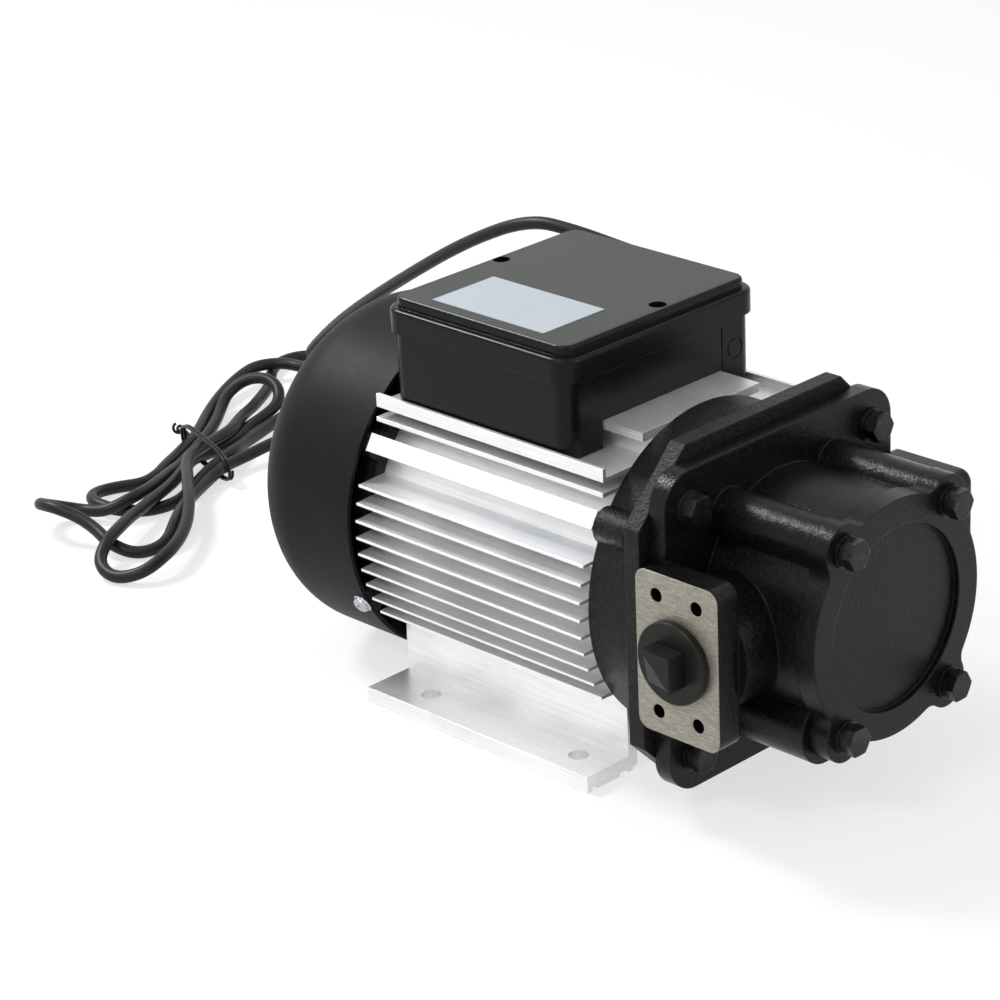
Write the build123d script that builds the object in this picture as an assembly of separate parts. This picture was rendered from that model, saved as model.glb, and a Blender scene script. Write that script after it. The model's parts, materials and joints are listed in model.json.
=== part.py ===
from build123d import *
import math
import os

# Electric oil transfer pump: a finned motor on feet, a gerotor pump head on its
# front end, a terminal box on its back and a tied hank of mains cable behind it.
# X runs along the shaft towards the pump head and Z is up. The origin is the
# centre of the four foot holes, on the plane that the feet stand on.
# All sizes are in millimetres.

# Fits
running_gap = 0.05
bolt_gap = 0.1
clear_gap = 0.4

# Motor housing, an extrusion with feet
shaft_height = 90.0
foot_pitch_x = 100.0
foot_pitch_y = 140.0
foot_hole_radius = 5.0
housing_rear = -80.0
housing_front = 69.5
bore_radius = 65.0
fin_root_radius = 70.0
fin_tip_radius = 86.0
fin_count = 9
fin_pitch = 8.76
fin_top = 24.9
fin_tip_thickness = 1.3
fin_root_thickness = 3.0
ledge_height = 56.5
ledge_half_width = 68.0
ledge_thickness = 2.2
rib_angle = 31.5
rib_width = 9.0
rib_outer_radius = 86.8
tie_radius = 78.0
lower_tie_angle = 56.0
lower_tie_radius = 75.0
lower_rib_outer_radius = 82.0
shelf_rise = 63.6
shelf_half_width = 64.0
shelf_thickness = 2.0
shelf_lip = 4.6
saddle_rise = 77.5
saddle_half_width = 40.5
saddle_thickness = 4.5
pedestal_half_width = 33.0
foot_outer = 84.6
foot_web_outer = 56.4
foot_web_thickness = 6.0
foot_top = 7.8
foot_runner = 1.7
runner_width = 3.0
hole_pad_width = 15.0

# Stator and rotor
stator_inner_radius = 35.1
air_gap = 0.5
core_rear = -42.0
core_front = 38.0
winding_reach = 22.0
winding_inner_radius = 38.0
winding_outer_radius = 58.0
shaft_core_radius = 14.0
shaft_journal_radius = 12.5
shaft_fan_radius = 10.5
shaft_pump_radius = 10.0

# Ball bearings, 25 x 52 x 15
bearing_outer_radius = 26.0
bearing_width = 15.0
bearing_ring = 4.2
rear_bearing_rear = -98.0
front_bearing_rear = 72.0

# End shields and tie rods
spigot_length = 6.0
spigot_wall = 4.0
rear_shield_rear = -92.0
rear_shield_radius = 76.0
rear_hub_radius = 34.0
rear_hub_rear = -101.0
tie_rod_radius = 3.0
tie_head_height = 4.0
tie_head_flats = 10.0
drum_radius = 80.0
lug_radius = 9.0
flange_rear = 99.0
flange_thickness = 9.0
flange_chamfer = 32.0
dry_chamber_radius = 48.0
dry_chamber_depth = 14.0
lug_length = 19.0

# Fan and fan cover
fan_radius = 74.0
fan_hub_radius = 17.0
fan_front = -108.0
fan_depth = 30.0
fan_disc_thickness = 2.5
fan_blades = 7
fan_blade_thickness = 2.4
fan_blade_slope = 12.0
fan_blade_taper = 8.0
cover_radius = 87.2
cover_wall = 2.2
cover_rim = -84.5
cover_back = -162.0
cover_round = 31.0
grille_rings = 4
grille_first_radius = 14.0
grille_slot_width = 6.0
grille_bar = 4.0
grille_spokes = 4
grille_spoke_width = 5.0
cover_screw_angles = (-28.6, 90.0, 208.6)
cover_screw_x = -88.5
cover_screw_radius = 2.5
cover_screw_head_radius = 4.4
cover_screw_head_height = 3.0
cover_screw_washer = 0.6
cover_screw_end = 81.6
cover_lug_width = 15.0

# Pump body
flange_step = 7.0
body_flange_radius = 17.0
body_flange_thickness = 9.5
body_spigot = 3.5
rotor_offset = 4.5
barrel_radius = 56.0
body_front = 174.0
body_rib_radius = 12.0
lower_lug_radius = 16.5
body_bolt_inset_y = 15.5
body_bolt_inset_z = 17.5
seal_radius = 17.5
seal_width = 7.0
bush_radius = 13.0
bush_rear = 120.0

# Ports, one on each side
pad_width = 48.6
pad_height = 79.2
pad_corner = 6.0
pad_thickness = 13.5
pad_face = 89.5
pad_rear = 108.6
pad_hole_pitch_x = 23.7
pad_hole_pitch_z = 57.4
pad_hole_radius = 3.4
pad_hole_depth = 11.5
port_radius = 15.1
port_depth = 27.5
neck_radius = 30.0
chamber_inner = 29.0
chamber_half_width = 13.0
chamber_half_height = 22.0
neck_inner = 20.0
kidney_half_angle = 42.0
kidney_width = 9.0
kidney_inset = 10.0

# Gerotor set
outer_lobes = 7
lobe_centre_radius = 42.0
lobe_radius = 10.5
ring_radius = 46.0
ring_root_gap = 0.12
rotor_width = 23.9
tooth_gap = 0.08
key_width = 6.0
key_height = 6.0
key_length = 18.0
key_depth = 3.5

# Pump cover
cover_thickness = 11.5
cover_plate_radius = 58.0
cover_lug_radius = 12.5
cover_blend = 8.0
cover_bolt_y = 36.5
cover_bolt_z = 45.6
recess_radius = 44.7
recess_depth = 3.0
groove_radius = 49.2
groove_width = 2.6
groove_depth = 1.6

# M8 fasteners of the pump head
bolt_radius = 4.0
bolt_flats = 13.0
bolt_head = 5.3
washer_radius = 8.0
washer_thickness = 1.6
spring_washer_radius = 6.9
spring_washer_thickness = 1.8
body_bolt_reach = 21.0
cover_bolt_reach = 32.0

# Bypass valve under the body
valve_x = 133.0
valve_y = 24.0
valve_boss_radius = 14.5
valve_boss_drop = 75.0
valve_boss_root = 20.0
valve_bore_radius = 9.0
valve_seat_drop = 28.0
valve_seat_radius = 5.5
valve_passage_drop = 20.0
valve_passage_radius = 4.0
valve_lift = 5.0
poppet_length = 15.0
poppet_gap = 0.06
poppet_wall = 2.2
cap_plug_length = 9.0
cap_flats = 24.0
cap_height = 6.0
cap_washer_thickness = 1.2
spring_wire_radius = 0.8
spring_radius = 5.2
spring_turns = 6

# Port plug
plug_disc_radius = 19.8
plug_disc_thickness = 3.6
plug_seal_thickness = 1.5
plug_seal_outer = 18.4
plug_square = 17.0
plug_square_height = 10.0
plug_shank_gap = 0.08
plug_shank_length = 12.0

# Terminal box
box_rear = -71.5
box_length = 116.5
box_half_width = 64.0
box_height = 37.2
box_wall = 2.5
box_corner = 8.0
box_floor = 3.0
notch_gap = 0.8
gasket_thickness = 0.8
lid_overhang = 2.6
lid_band_height = 12.0
lid_rise = 5.3
lid_inset = 1.2
lid_edge_round = 2.0
lid_screw_rear_inset = 6.5
lid_screw_front_inset = 7.4
lid_screw_length = 14.0
lid_screw_y = 6.0
lid_screw_radius = 2.0
lid_screw_head_radius = 3.6
lid_screw_head = 2.6
lid_counterbore_radius = 4.3
lid_post_radius = 6.2
lid_post_floor = 3.0
base_screw_inset = 10.25
base_screw_y = 28.0
base_screw_hole = 2.1
base_screw_radius = 2.0
base_screw_head_radius = 4.0
base_screw_head = 2.8
base_screw_depth = 12.0
plate_shift = -0.25
plate_y = -35.0
plate_length = 73.0
plate_width = 41.0
plate_thickness = 0.3
capacitor_gap = 1.65
capacitor_length = 78.0
capacitor_spacing = 3.7
capacitor_end_gap = 8.5
terminal_inset = 5.5
terminal_end = 2.0
terminal_y = -12.0
terminal_ways = 4
terminal_pitch = 10.0
terminal_depth = 18.0
terminal_height = 16.0
knockout_y = 51.0
knockout_height = 22.0
knockout_radius = 5.0
front_line_y = 41.8
front_line_width = 0.8

# Cable gland, cable and plug
cable_radius = 3.5
gland_x = -40.0
gland_height = 18.0
gland_thread_radius = 8.0
gland_flats = 20.0
gland_hex = 6.0
gland_nut_length = 15.0
gland_nut_tip_radius = 6.5
locknut_thickness = 4.0
thread_end = 2.0
plug_x = -318.0
plug_y = 110.0
plug_radius = 18.0
plug_length = 34.0
relief_length = 30.0
relief_radius = 6.0
relief_grip = 6.0
pin_seat = 9.0
pin_radius = 2.4
pin_length = 19.0
pin_spacing = 19.0

# Values worked out from the sizes above
flange_side = 2 * fin_tip_radius
body_flange_side = flange_side - 2 * flange_step
body_bolt_y = body_flange_side / 2 - body_bolt_inset_y
body_bolt_z = body_flange_side / 2 - body_bolt_inset_z
motor_face = flange_rear + flange_thickness
body_flange_front = motor_face + body_flange_thickness
rotor_z = shaft_height + rotor_offset
pocket_floor = body_front - rotor_width - 2 * running_gap
pad_x = pad_rear + pad_width / 2
cover_front = body_front + cover_thickness
rotor_rear = pocket_floor + running_gap
chamber_bottom = shaft_height - chamber_half_height
chamber_top = shaft_height + chamber_half_height
valve_boss_bottom = shaft_height - valve_boss_drop
valve_seat_height = shaft_height - valve_seat_drop
valve_passage_height = shaft_height - valve_passage_drop
shelf_top = shaft_height + shelf_rise
saddle_top = shaft_height + saddle_rise
box_bottom = shelf_top + clear_gap
box_rim = box_bottom + box_height
box_front = box_rear + box_length
box_centre_x = box_rear + box_length / 2
lid_band_top = box_rim + gasket_thickness + lid_band_height
lid_top = lid_band_top + lid_rise
lid_screw_rear_x = box_rear + lid_screw_rear_inset
lid_screw_front_x = box_front - lid_screw_front_inset
base_screw_x = box_length / 2 - base_screw_inset
plate_x = box_centre_x + plate_shift
terminal_half_length = terminal_ways * terminal_pitch / 2 + terminal_end
terminal_x = box_front - box_wall - terminal_inset - terminal_half_length
capacitor_radius = (lid_top - box_wall - saddle_top - box_floor) / 2 - capacitor_gap
capacitor_end = box_half_width - box_wall - locknut_thickness - thread_end - capacitor_end_gap
capacitor_y = capacitor_end - capacitor_length / 2
capacitor_x = terminal_x - terminal_half_length - capacitor_spacing - capacitor_radius
knockout_z = box_bottom + knockout_height
gland_z = box_bottom + gland_height
cover_bolts = [(sy * cover_bolt_y, rotor_z + sz * cover_bolt_z) for sy in (-1, 1) for sz in (-1, 1)]
body_bolts = [(sy * body_bolt_y, shaft_height + sz * body_bolt_z) for sy in (-1, 1) for sz in (-1, 1)]

shaft_line = Axis((0, 0, shaft_height), (1, 0, 0))
pieces = {}


def on_circle(radius, angle, side=1, z=shaft_height):
    """Y and Z of a point at an angle above the horizontal, on one side of the shaft."""
    return side * radius * math.cos(math.radians(angle)), z + radius * math.sin(math.radians(angle))


tie_points = [on_circle(tie_radius, rib_angle, side) for side in (-1, 1)] + [
    on_circle(lower_tie_radius, -lower_tie_angle, side) for side in (-1, 1)
]


def along_x(sketch, start, end):
    """Extrude a sketch drawn in (Y, Z) from one X to another."""
    return extrude(Plane.YZ.offset(start) * sketch, amount=end - start)


def rod(radius, start, end, y=0.0, z=shaft_height):
    """Cylinder along X."""
    return along_x(Pos(y, z) * Circle(radius), start, end)


def hexagon(flats):
    """Regular hexagon of a given width across its flats."""
    return RegularPolygon(flats / math.sqrt(3), 6)


def turned(profile, z=shaft_height):
    """Solid of revolution about a line along X; the profile is (x, radius) pairs."""
    outline = Polyline(*[(x, z + radius) for x, radius in profile], close=True)
    return revolve(Plane.XZ * make_face(outline), Axis((0, 0, z), (1, 0, 0)), 360)


def upright(radius, x, y, bottom, top):
    """Cylinder along Z."""
    return extrude(Plane.XY.offset(bottom) * Pos(x, y) * Circle(radius), amount=top - bottom)


def sideways(sketch, near, far):
    """Extrude a sketch drawn in (X, Z) outwards on the -Y side, from one distance to another."""
    return extrude(Plane.XZ.offset(near) * sketch, amount=far - near)


def both_sides(shape):
    """The shape and its mirror image across the XZ plane."""
    return shape + mirror(shape, Plane.XZ)


def group(shapes):
    """Separate solids that share one node."""
    return Compound([solid for shape in shapes for solid in shape.solids()])


def keep(name, shape):
    """Register a finished piece."""
    pieces[name] = shape


def radial_block(angle, width, inner, outer, side):
    """Rectangle in (Y, Z) that points away from the shaft line."""
    strip = Pos((inner + outer) / 2, 0) * Rectangle(outer - inner, width)
    turn = angle if side > 0 else 180 - angle
    return Pos(0, shaft_height) * Rot(0, 0, turn) * strip


# Motor housing
def fin(offset, side):
    """One cooling fin, thick at the barrel and thin at its tip."""
    tip = math.sqrt(fin_tip_radius**2 - offset**2)
    root = math.sqrt(fin_root_radius**2 - offset**2) - 3
    outline = Polyline(
        (side * root, offset - fin_root_thickness / 2),
        (side * tip, offset - fin_tip_thickness / 2),
        (side * tip, offset + fin_tip_thickness / 2),
        (side * root, offset + fin_root_thickness / 2),
        close=True,
    )
    return Pos(0, shaft_height) * make_face(outline)


def bar(y0, y1, z0, z1):
    """Rectangle in (Y, Z) between two corners."""
    return Pos((y0 + y1) / 2, (z0 + z1) / 2) * Rectangle(abs(y1 - y0), abs(z1 - z0))


def housing():
    section = Pos(0, shaft_height) * Circle(fin_root_radius)
    saddle_bottom = saddle_top - saddle_thickness
    section += bar(-saddle_half_width, saddle_half_width, saddle_bottom, saddle_top)
    section += bar(-pedestal_half_width, pedestal_half_width, shaft_height + pedestal_half_width,
                   saddle_bottom)
    for side in (-1, 1):
        for number in range(fin_count):
            section += fin(fin_top - number * fin_pitch, side)
        section += radial_block(rib_angle, rib_width, bore_radius + 2, rib_outer_radius, side)
        section += radial_block(-lower_tie_angle, rib_width + 2, bore_radius + 2, lower_rib_outer_radius,
                                side)
        ledge_root = math.sqrt(fin_root_radius**2 - ledge_height**2) - 4
        ledge_z = shaft_height + ledge_height
        section += bar(side * ledge_root, side * ledge_half_width, ledge_z - ledge_thickness, ledge_z)
        section += bar(side * (pedestal_half_width - 1), side * shelf_half_width,
                       shelf_top - shelf_thickness, shelf_top)
        section += bar(
            side * (shelf_half_width - shelf_thickness + box_wall + 1),
            side * (shelf_half_width + box_wall + 1),
            shelf_top - shelf_thickness, shelf_top + shelf_lip,
        )
        section += bar(side * (shelf_half_width - 1), side * (shelf_half_width + box_wall + 1),
                       shelf_top - shelf_thickness, shelf_top)
        web_inner = foot_web_outer - foot_web_thickness
        web_top = shaft_height - math.sqrt(fin_root_radius**2 - foot_web_outer**2) + 1.5
        section += bar(side * web_inner, side * foot_web_outer, foot_top - 1, web_top)
        section += bar(side * web_inner, side * foot_outer, foot_runner, foot_top)
        section += bar(side * (foot_outer - runner_width), side * foot_outer, 0, foot_runner + 1)
        section += bar(side * (foot_web_outer - runner_width), side * foot_web_outer, 0, foot_runner + 1)
        hole_y = side * foot_pitch_y / 2
        section += bar(hole_y - hole_pad_width / 2, hole_y + hole_pad_width / 2, 0, foot_runner + 1)
    section -= Pos(0, shaft_height) * Circle(bore_radius)
    solid = along_x(section, housing_rear, housing_front)
    for y, z in tie_points:
        solid -= rod(tie_rod_radius + clear_gap, housing_rear - 1, housing_front + 1, y, z)
    for sx in (-1, 1):
        for sy in (-1, 1):
            solid -= upright(foot_hole_radius, sx * foot_pitch_x / 2, sy * foot_pitch_y / 2, -1, foot_top + 1)
            solid -= upright(base_screw_hole, box_centre_x + sx * base_screw_x, sy * base_screw_y,
                             saddle_top - base_screw_depth, saddle_top + 1)
    return solid


# Motor inner pieces
def stator():
    outer = bore_radius - running_gap
    return turned([(core_rear, stator_inner_radius), (core_rear, outer), (core_front, outer),
                   (core_front, stator_inner_radius)])


def winding(start, end):
    ring = turned([(start, winding_inner_radius), (start, winding_outer_radius), (end, winding_outer_radius),
                   (end, winding_inner_radius)])
    far = ring.faces().sort_by(Axis.X)[0 if end < start else -1]
    return fillet(far.edges(), 7)


def shaft():
    rear_journal_front = rear_bearing_rear + bearing_width
    body = turned([
        (fan_front - fan_depth - 3, 0), (fan_front - fan_depth - 3, shaft_fan_radius),
        (rear_hub_rear - 1, shaft_fan_radius), (rear_hub_rear - 1, shaft_journal_radius),
        (rear_journal_front, shaft_journal_radius), (rear_journal_front, shaft_core_radius),
        (front_bearing_rear, shaft_core_radius), (front_bearing_rear, shaft_journal_radius),
        (front_bearing_rear + bearing_width + 2, shaft_journal_radius),
        (front_bearing_rear + bearing_width + 2, shaft_pump_radius),
        (body_front - 2, shaft_pump_radius), (body_front - 2, 0),
    ])
    end_edges = body.edges().filter_by(GeomType.CIRCLE).sort_by(Axis.X)
    body = chamfer([end_edges[0], end_edges[-1]], 1)
    return body - key_box(0)


def key_box(gap):
    """Room for the parallel key on top of the pump end of the shaft."""
    start = rotor_rear + (rotor_width - key_length) / 2
    bottom = shaft_height + shaft_pump_radius - key_depth
    width = key_width + 2 * gap
    height = key_height + gap
    return Pos(start + key_length / 2, 0, bottom + height / 2) * Box(key_length + 2 * gap, width, height)


def bearing(start):
    """Deep groove ball bearing with both shields on, its rings and shields in one."""
    end = start + bearing_width
    inner = shaft_journal_radius + running_gap
    outer = bearing_outer_radius - running_gap
    return turned([
        (start, inner), (start, inner + bearing_ring), (start + 0.8, inner + bearing_ring),
        (start + 0.8, outer - bearing_ring), (start, outer - bearing_ring), (start, outer), (end, outer),
        (end, outer - bearing_ring), (end - 0.8, outer - bearing_ring), (end - 0.8, inner + bearing_ring),
        (end, inner + bearing_ring), (end, inner),
    ])


def rear_shield():
    seat_front = rear_bearing_rear + bearing_width
    spigot = bore_radius - running_gap
    body = turned([
        (housing_rear + spigot_length, spigot - spigot_wall), (housing_rear + spigot_length, spigot),
        (housing_rear, spigot), (housing_rear, rear_shield_radius), (rear_shield_rear, rear_shield_radius),
        (rear_shield_rear, rear_hub_radius + 4), (rear_hub_rear, rear_hub_radius),
        (rear_hub_rear, shaft_journal_radius + 2), (rear_bearing_rear, shaft_journal_radius + 2),
        (rear_bearing_rear, bearing_outer_radius), (seat_front, bearing_outer_radius),
        (seat_front, rear_hub_radius), (rear_shield_rear + 6, rear_hub_radius + 4),
        (rear_shield_rear + 6, spigot - spigot_wall),
    ])
    for angle in cover_screw_angles:
        lug = radial_block(angle, cover_lug_width, rear_shield_radius - 6, cover_radius, 1)
        body += along_x(lug, rear_shield_rear, cover_screw_x + 4)
    for y, z in tie_points:
        body += rod(lug_radius - 1.5, rear_shield_rear, housing_rear, y, z)
    inner_wall = rod(cover_radius - cover_wall - running_gap, rear_hub_rear - 1, housing_rear)
    body = body & (inner_wall + rod(spigot, housing_rear, housing_rear + spigot_length))
    for y, z in tie_points:
        body -= rod(tie_rod_radius + clear_gap, rear_shield_rear - 1, housing_rear + 1, y, z)
    hole = radial_rod(cover_screw_radius + bolt_gap, cover_screw_end - 0.3, cover_radius)
    return body - at_cover_screws(hole)


def at_cover_screws(shape):
    """Copies at each fan cover screw of a piece that points along +Y from the shaft line."""
    return group([shape.rotate(shaft_line, angle) for angle in cover_screw_angles])


def radial_rod(radius, inner, outer):
    """Cylinder that points out along +Y from the shaft line, at the fan cover screws' X."""
    face = Plane.XZ.offset(-outer) * Pos(cover_screw_x, shaft_height) * Circle(radius)
    return extrude(face, amount=outer - inner)


def fan():
    rear = fan_front - fan_depth
    bore = shaft_fan_radius + running_gap
    body = turned([
        (rear, bore), (rear, fan_hub_radius), (fan_front - fan_disc_thickness, fan_hub_radius + 4),
        (fan_front - fan_disc_thickness, fan_radius), (fan_front, fan_radius), (fan_front, bore),
    ])
    corners = [(rear + 2, fan_hub_radius - 2), (rear + 2, fan_radius - fan_blade_taper),
               (fan_front - fan_blade_slope, fan_radius), (fan_front - 1, fan_radius),
               (fan_front - 1, fan_hub_radius - 2)]
    outline = Polyline(*[(x, shaft_height + radius) for x, radius in corners], close=True)
    blade = extrude(Plane.XZ * make_face(outline), amount=fan_blade_thickness / 2, both=True)
    for number in range(fan_blades):
        body += blade.rotate(shaft_line, number * 360 / fan_blades)
    return body


def fan_cover():
    shell = rod(cover_radius, cover_back, cover_rim)
    shell = fillet(shell.edges().filter_by(GeomType.CIRCLE).sort_by(Axis.X)[0], cover_round)
    hollow = rod(cover_radius - cover_wall, cover_back + cover_wall, cover_rim + 1)
    hollow = fillet(hollow.edges().filter_by(GeomType.CIRCLE).sort_by(Axis.X)[0], cover_round - cover_wall)
    shell -= hollow
    slots = Sketch()
    for ring in range(grille_rings):
        inner = grille_first_radius + ring * (grille_slot_width + grille_bar)
        slots += Circle(inner + grille_slot_width) - Circle(inner)
    for spoke in range(grille_spokes):
        slots -= Rot(0, 0, spoke * 180 / grille_spokes) * Rectangle(2 * cover_radius, grille_spoke_width)
    shell -= along_x(Pos(0, shaft_height) * slots, cover_back - 1, cover_back + cover_wall + 1)
    hole = radial_rod(cover_screw_radius + clear_gap, cover_radius - 6, cover_radius + 1)
    return shell - at_cover_screws(hole)


def cover_screws():
    seat = cover_radius + cover_screw_washer
    screw = radial_rod(cover_screw_radius, cover_screw_end, seat + 1)
    screw += radial_rod(cover_screw_head_radius + 0.8, cover_radius, seat)
    head = radial_rod(cover_screw_head_radius, seat, seat + cover_screw_head_height)
    screw += fillet(head.edges().filter_by(GeomType.CIRCLE).sort_by(Axis.Y)[-1], 1.2)
    return at_cover_screws(screw)


def tie_rods():
    rods = []
    for y, z in tie_points:
        start = rear_shield_rear - tie_head_height
        body = rod(tie_rod_radius, start, housing_front + lug_length - 5, y, z)
        body += along_x(Pos(y, z) * hexagon(tie_head_flats), start, rear_shield_rear)
        rods.append(body)
    return group(rods)


# Front end shield with the square pump flange
def front_shield():
    spigot = bore_radius - running_gap
    seat_front = front_bearing_rear + bearing_width
    body = turned([
        (housing_front - spigot_length, spigot - spigot_wall), (housing_front - spigot_length, spigot),
        (housing_front, spigot), (housing_front, drum_radius), (motor_face, drum_radius),
        (motor_face, dry_chamber_radius), (motor_face - body_spigot - 1.5, dry_chamber_radius),
        (motor_face - dry_chamber_depth, dry_chamber_radius - 8),
        (motor_face - dry_chamber_depth, shaft_journal_radius + 5), (seat_front, shaft_journal_radius + 5),
        (seat_front, bearing_outer_radius), (front_bearing_rear, bearing_outer_radius),
        (front_bearing_rear, bearing_outer_radius + 7), (seat_front - 3, bearing_outer_radius + 9),
        (seat_front - 3, spigot - spigot_wall - 4), (housing_front + 4, spigot - spigot_wall),
    ])
    plate = Rectangle(flange_side, flange_side)
    plate = chamfer(plate.vertices(), flange_chamfer)
    plate = Pos(0, shaft_height) * (plate - Circle(drum_radius - 4))
    body += along_x(plate, flange_rear, motor_face)
    for y, z in tie_points:
        body += rod(lug_radius, housing_front, housing_front + lug_length, y, z)
        body -= rod(tie_rod_radius + bolt_gap, housing_front - 1, housing_front + lug_length - 4, y, z)
    for y, z in body_bolts:
        body -= rod(bolt_radius + bolt_gap, housing_front - 1, motor_face + 1, y, z)
    return body


# Pump body
def port_block():
    pad = RectangleRounded(pad_width, pad_height, pad_corner)
    block = sideways(Pos(pad_x, shaft_height) * pad, pad_face - pad_thickness, pad_face)
    width = neck_radius + pad_width / 2
    trim = Pos(pad_rear + width / 2, shaft_height) * Rectangle(width, 2 * neck_radius)
    round_neck = (Pos(pad_x, shaft_height) * Circle(neck_radius)) & trim
    return block + sideways(round_neck, neck_inner, pad_face - pad_thickness)


def port_cavity():
    bore = sideways(Pos(pad_x, shaft_height) * Circle(port_radius), pad_face - port_depth, pad_face + 1)
    middle = (chamber_bottom + chamber_top) / 2
    room = RectangleRounded(2 * chamber_half_width, chamber_top - chamber_bottom, 6)
    chamber = sideways(Pos(pad_x, middle) * room, chamber_inner, pad_face - port_depth + 1)
    holes = []
    for sx in (-1, 1):
        for sz in (-1, 1):
            centre = Pos(pad_x + sx * pad_hole_pitch_x / 2, shaft_height + sz * pad_hole_pitch_z / 2)
            holes.append(sideways(centre * Circle(pad_hole_radius), pad_face - pad_hole_depth, pad_face + 1))
    kidney = Pos(0, rotor_z) * kidney_sketch()
    passage = along_x(kidney, pad_x + chamber_half_width - 4, pocket_floor + 1)
    return bore + chamber + passage + group(holes)


def kidney_sketch():
    """Arc-shaped slot on the -Y side of the rotor pocket's floor."""
    middle = ring_radius - kidney_inset
    ring = Circle(middle + kidney_width / 2) - Circle(middle - kidney_width / 2)
    reach = ring_radius
    rise = reach * math.tan(math.radians(kidney_half_angle))
    wedge = make_face(Polyline((0, 0), (-reach, rise), (-reach, -rise), close=True))
    return ring & wedge


def pump_body():
    flange = Pos(0, shaft_height) * RectangleRounded(body_flange_side, body_flange_side, body_flange_radius)
    body = along_x(flange, motor_face, body_flange_front)
    body += rod(dry_chamber_radius - clear_gap, motor_face - body_spigot, motor_face + 1)
    body += rod(barrel_radius, body_flange_front - 1, body_front, 0, rotor_z)
    for y, z in cover_bolts:
        radius = lower_lug_radius if z < rotor_z else body_rib_radius
        body += rod(radius, body_flange_front - 1, body_front, y, z)
    body += both_sides(port_block())
    body += upright(valve_boss_radius, valve_x, valve_y, valve_boss_bottom, shaft_height - valve_boss_root)
    body -= both_sides(port_cavity())
    body -= rod(ring_radius + running_gap, pocket_floor, body_front + 1, 0, rotor_z)
    body -= rod(shaft_pump_radius + clear_gap, motor_face - body_spigot - 1, pocket_floor + 1)
    body -= rod(seal_radius, motor_face - body_spigot - 1, motor_face + seal_width)
    body -= rod(bush_radius, bush_rear, pocket_floor + 1)
    groove = Circle(groove_radius + groove_width) - Circle(groove_radius)
    body -= along_x(Pos(0, rotor_z) * groove, body_front - groove_depth, body_front + 1)
    for y, z in cover_bolts:
        body -= rod(bolt_radius + bolt_gap, body_front - cover_bolt_reach + cover_thickness - 3,
                    body_front + 1, y, z)
    for y, z in body_bolts:
        body -= rod(bolt_radius + clear_gap, motor_face - 1, body_flange_front + 1, y, z)
    body -= upright(valve_bore_radius, valve_x, valve_y, valve_boss_bottom - 1, valve_seat_height)
    body -= upright(valve_seat_radius, valve_x, valve_y, valve_seat_height - 1, valve_passage_height)
    across = Plane.XZ.offset(-valve_y - valve_passage_radius + 2) * Pos(
        valve_x, valve_passage_height) * Circle(valve_passage_radius)
    body -= extrude(across, amount=valve_y + chamber_inner + 4)
    outlet_near, outlet_far = valve_y + valve_seat_radius + 1, valve_y + valve_bore_radius + 4
    outlet_height = chamber_bottom + 2 - valve_seat_height + valve_lift
    outlet = Box(2 * valve_passage_radius, outlet_far - outlet_near, outlet_height)
    body -= Pos(valve_x, (outlet_near + outlet_far) / 2, chamber_bottom + 2 - outlet_height / 2) * outlet
    return body


def pump_cover():
    plate = Circle(cover_plate_radius)
    for y, z in cover_bolts:
        plate += Pos(y, z - rotor_z) * Circle(cover_lug_radius)
    plate = fillet(plate.vertices(), cover_blend)
    cover = along_x(Pos(0, rotor_z) * plate, body_front, cover_front)
    cover -= rod(recess_radius, cover_front - recess_depth, cover_front + 1, 0, rotor_z)
    for y, z in cover_bolts:
        cover -= rod(bolt_radius + clear_gap, body_front - 1, cover_front + 1, y, z)
    return cover


def hex_bolt(y, z, seat, reach):
    """Hexagon bolt whose head sits on its washers and whose shank runs back along X."""
    under_head = seat + washer_thickness + spring_washer_thickness
    head = along_x(Pos(y, z) * hexagon(bolt_flats), under_head, under_head + bolt_head)
    crown = turned([(under_head - 1, 0), (under_head - 1, bolt_flats),
                    (under_head + bolt_head - 1.2, bolt_flats),
                    (under_head + bolt_head, bolt_flats / 2 - 0.3), (under_head + bolt_head, 0)])
    head = head & (Pos(0, y, z - shaft_height) * crown)
    return head + rod(bolt_radius, under_head - reach, under_head + 1, y, z)


def washer(y, z, start, radius, thickness):
    ring = Circle(radius) - Circle(bolt_radius + clear_gap / 2)
    return along_x(Pos(y, z) * ring, start, start + thickness)


# Gerotor
def inner_rotor_outline():
    """Curve that rolls inside the ring: an epitrochoid moved inwards by the lobe radius, lobe by lobe."""
    lobes = outer_lobes - 1
    turn = 2 * math.pi / lobes
    steps = 12
    offset = lobe_radius + tooth_gap
    points = []
    for step in range(steps + 1):
        t = turn * step / steps
        psi = math.atan2(math.sin((1 - outer_lobes) * t),
                         lobe_centre_radius / (rotor_offset * outer_lobes) - math.cos((1 - outer_lobes) * t))
        u = (lobe_centre_radius * math.cos(t) - offset * math.cos(t + psi)
             - rotor_offset * math.cos(outer_lobes * t))
        v = (-lobe_centre_radius * math.sin(t) + offset * math.sin(t + psi)
             + rotor_offset * math.sin(outer_lobes * t))
        points.append((v, -u))
    lobe = Spline(*points, tangents=[(-1, 0), (-math.cos(turn), math.sin(turn))])
    return make_face([Rot(0, 0, -math.degrees(turn) * number) * lobe for number in range(lobes)])


def inner_rotor():
    outline = Pos(0, shaft_height) * (inner_rotor_outline() - Circle(shaft_pump_radius + running_gap / 2))
    solid = along_x(outline, rotor_rear, rotor_rear + rotor_width)
    slot_top = shaft_height + shaft_pump_radius - key_depth + key_height + 0.2
    slot = bar(-key_width / 2 - running_gap, key_width / 2 + running_gap, shaft_height, slot_top)
    return solid - along_x(slot, rotor_rear - 1, rotor_rear + rotor_width + 1)


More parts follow.
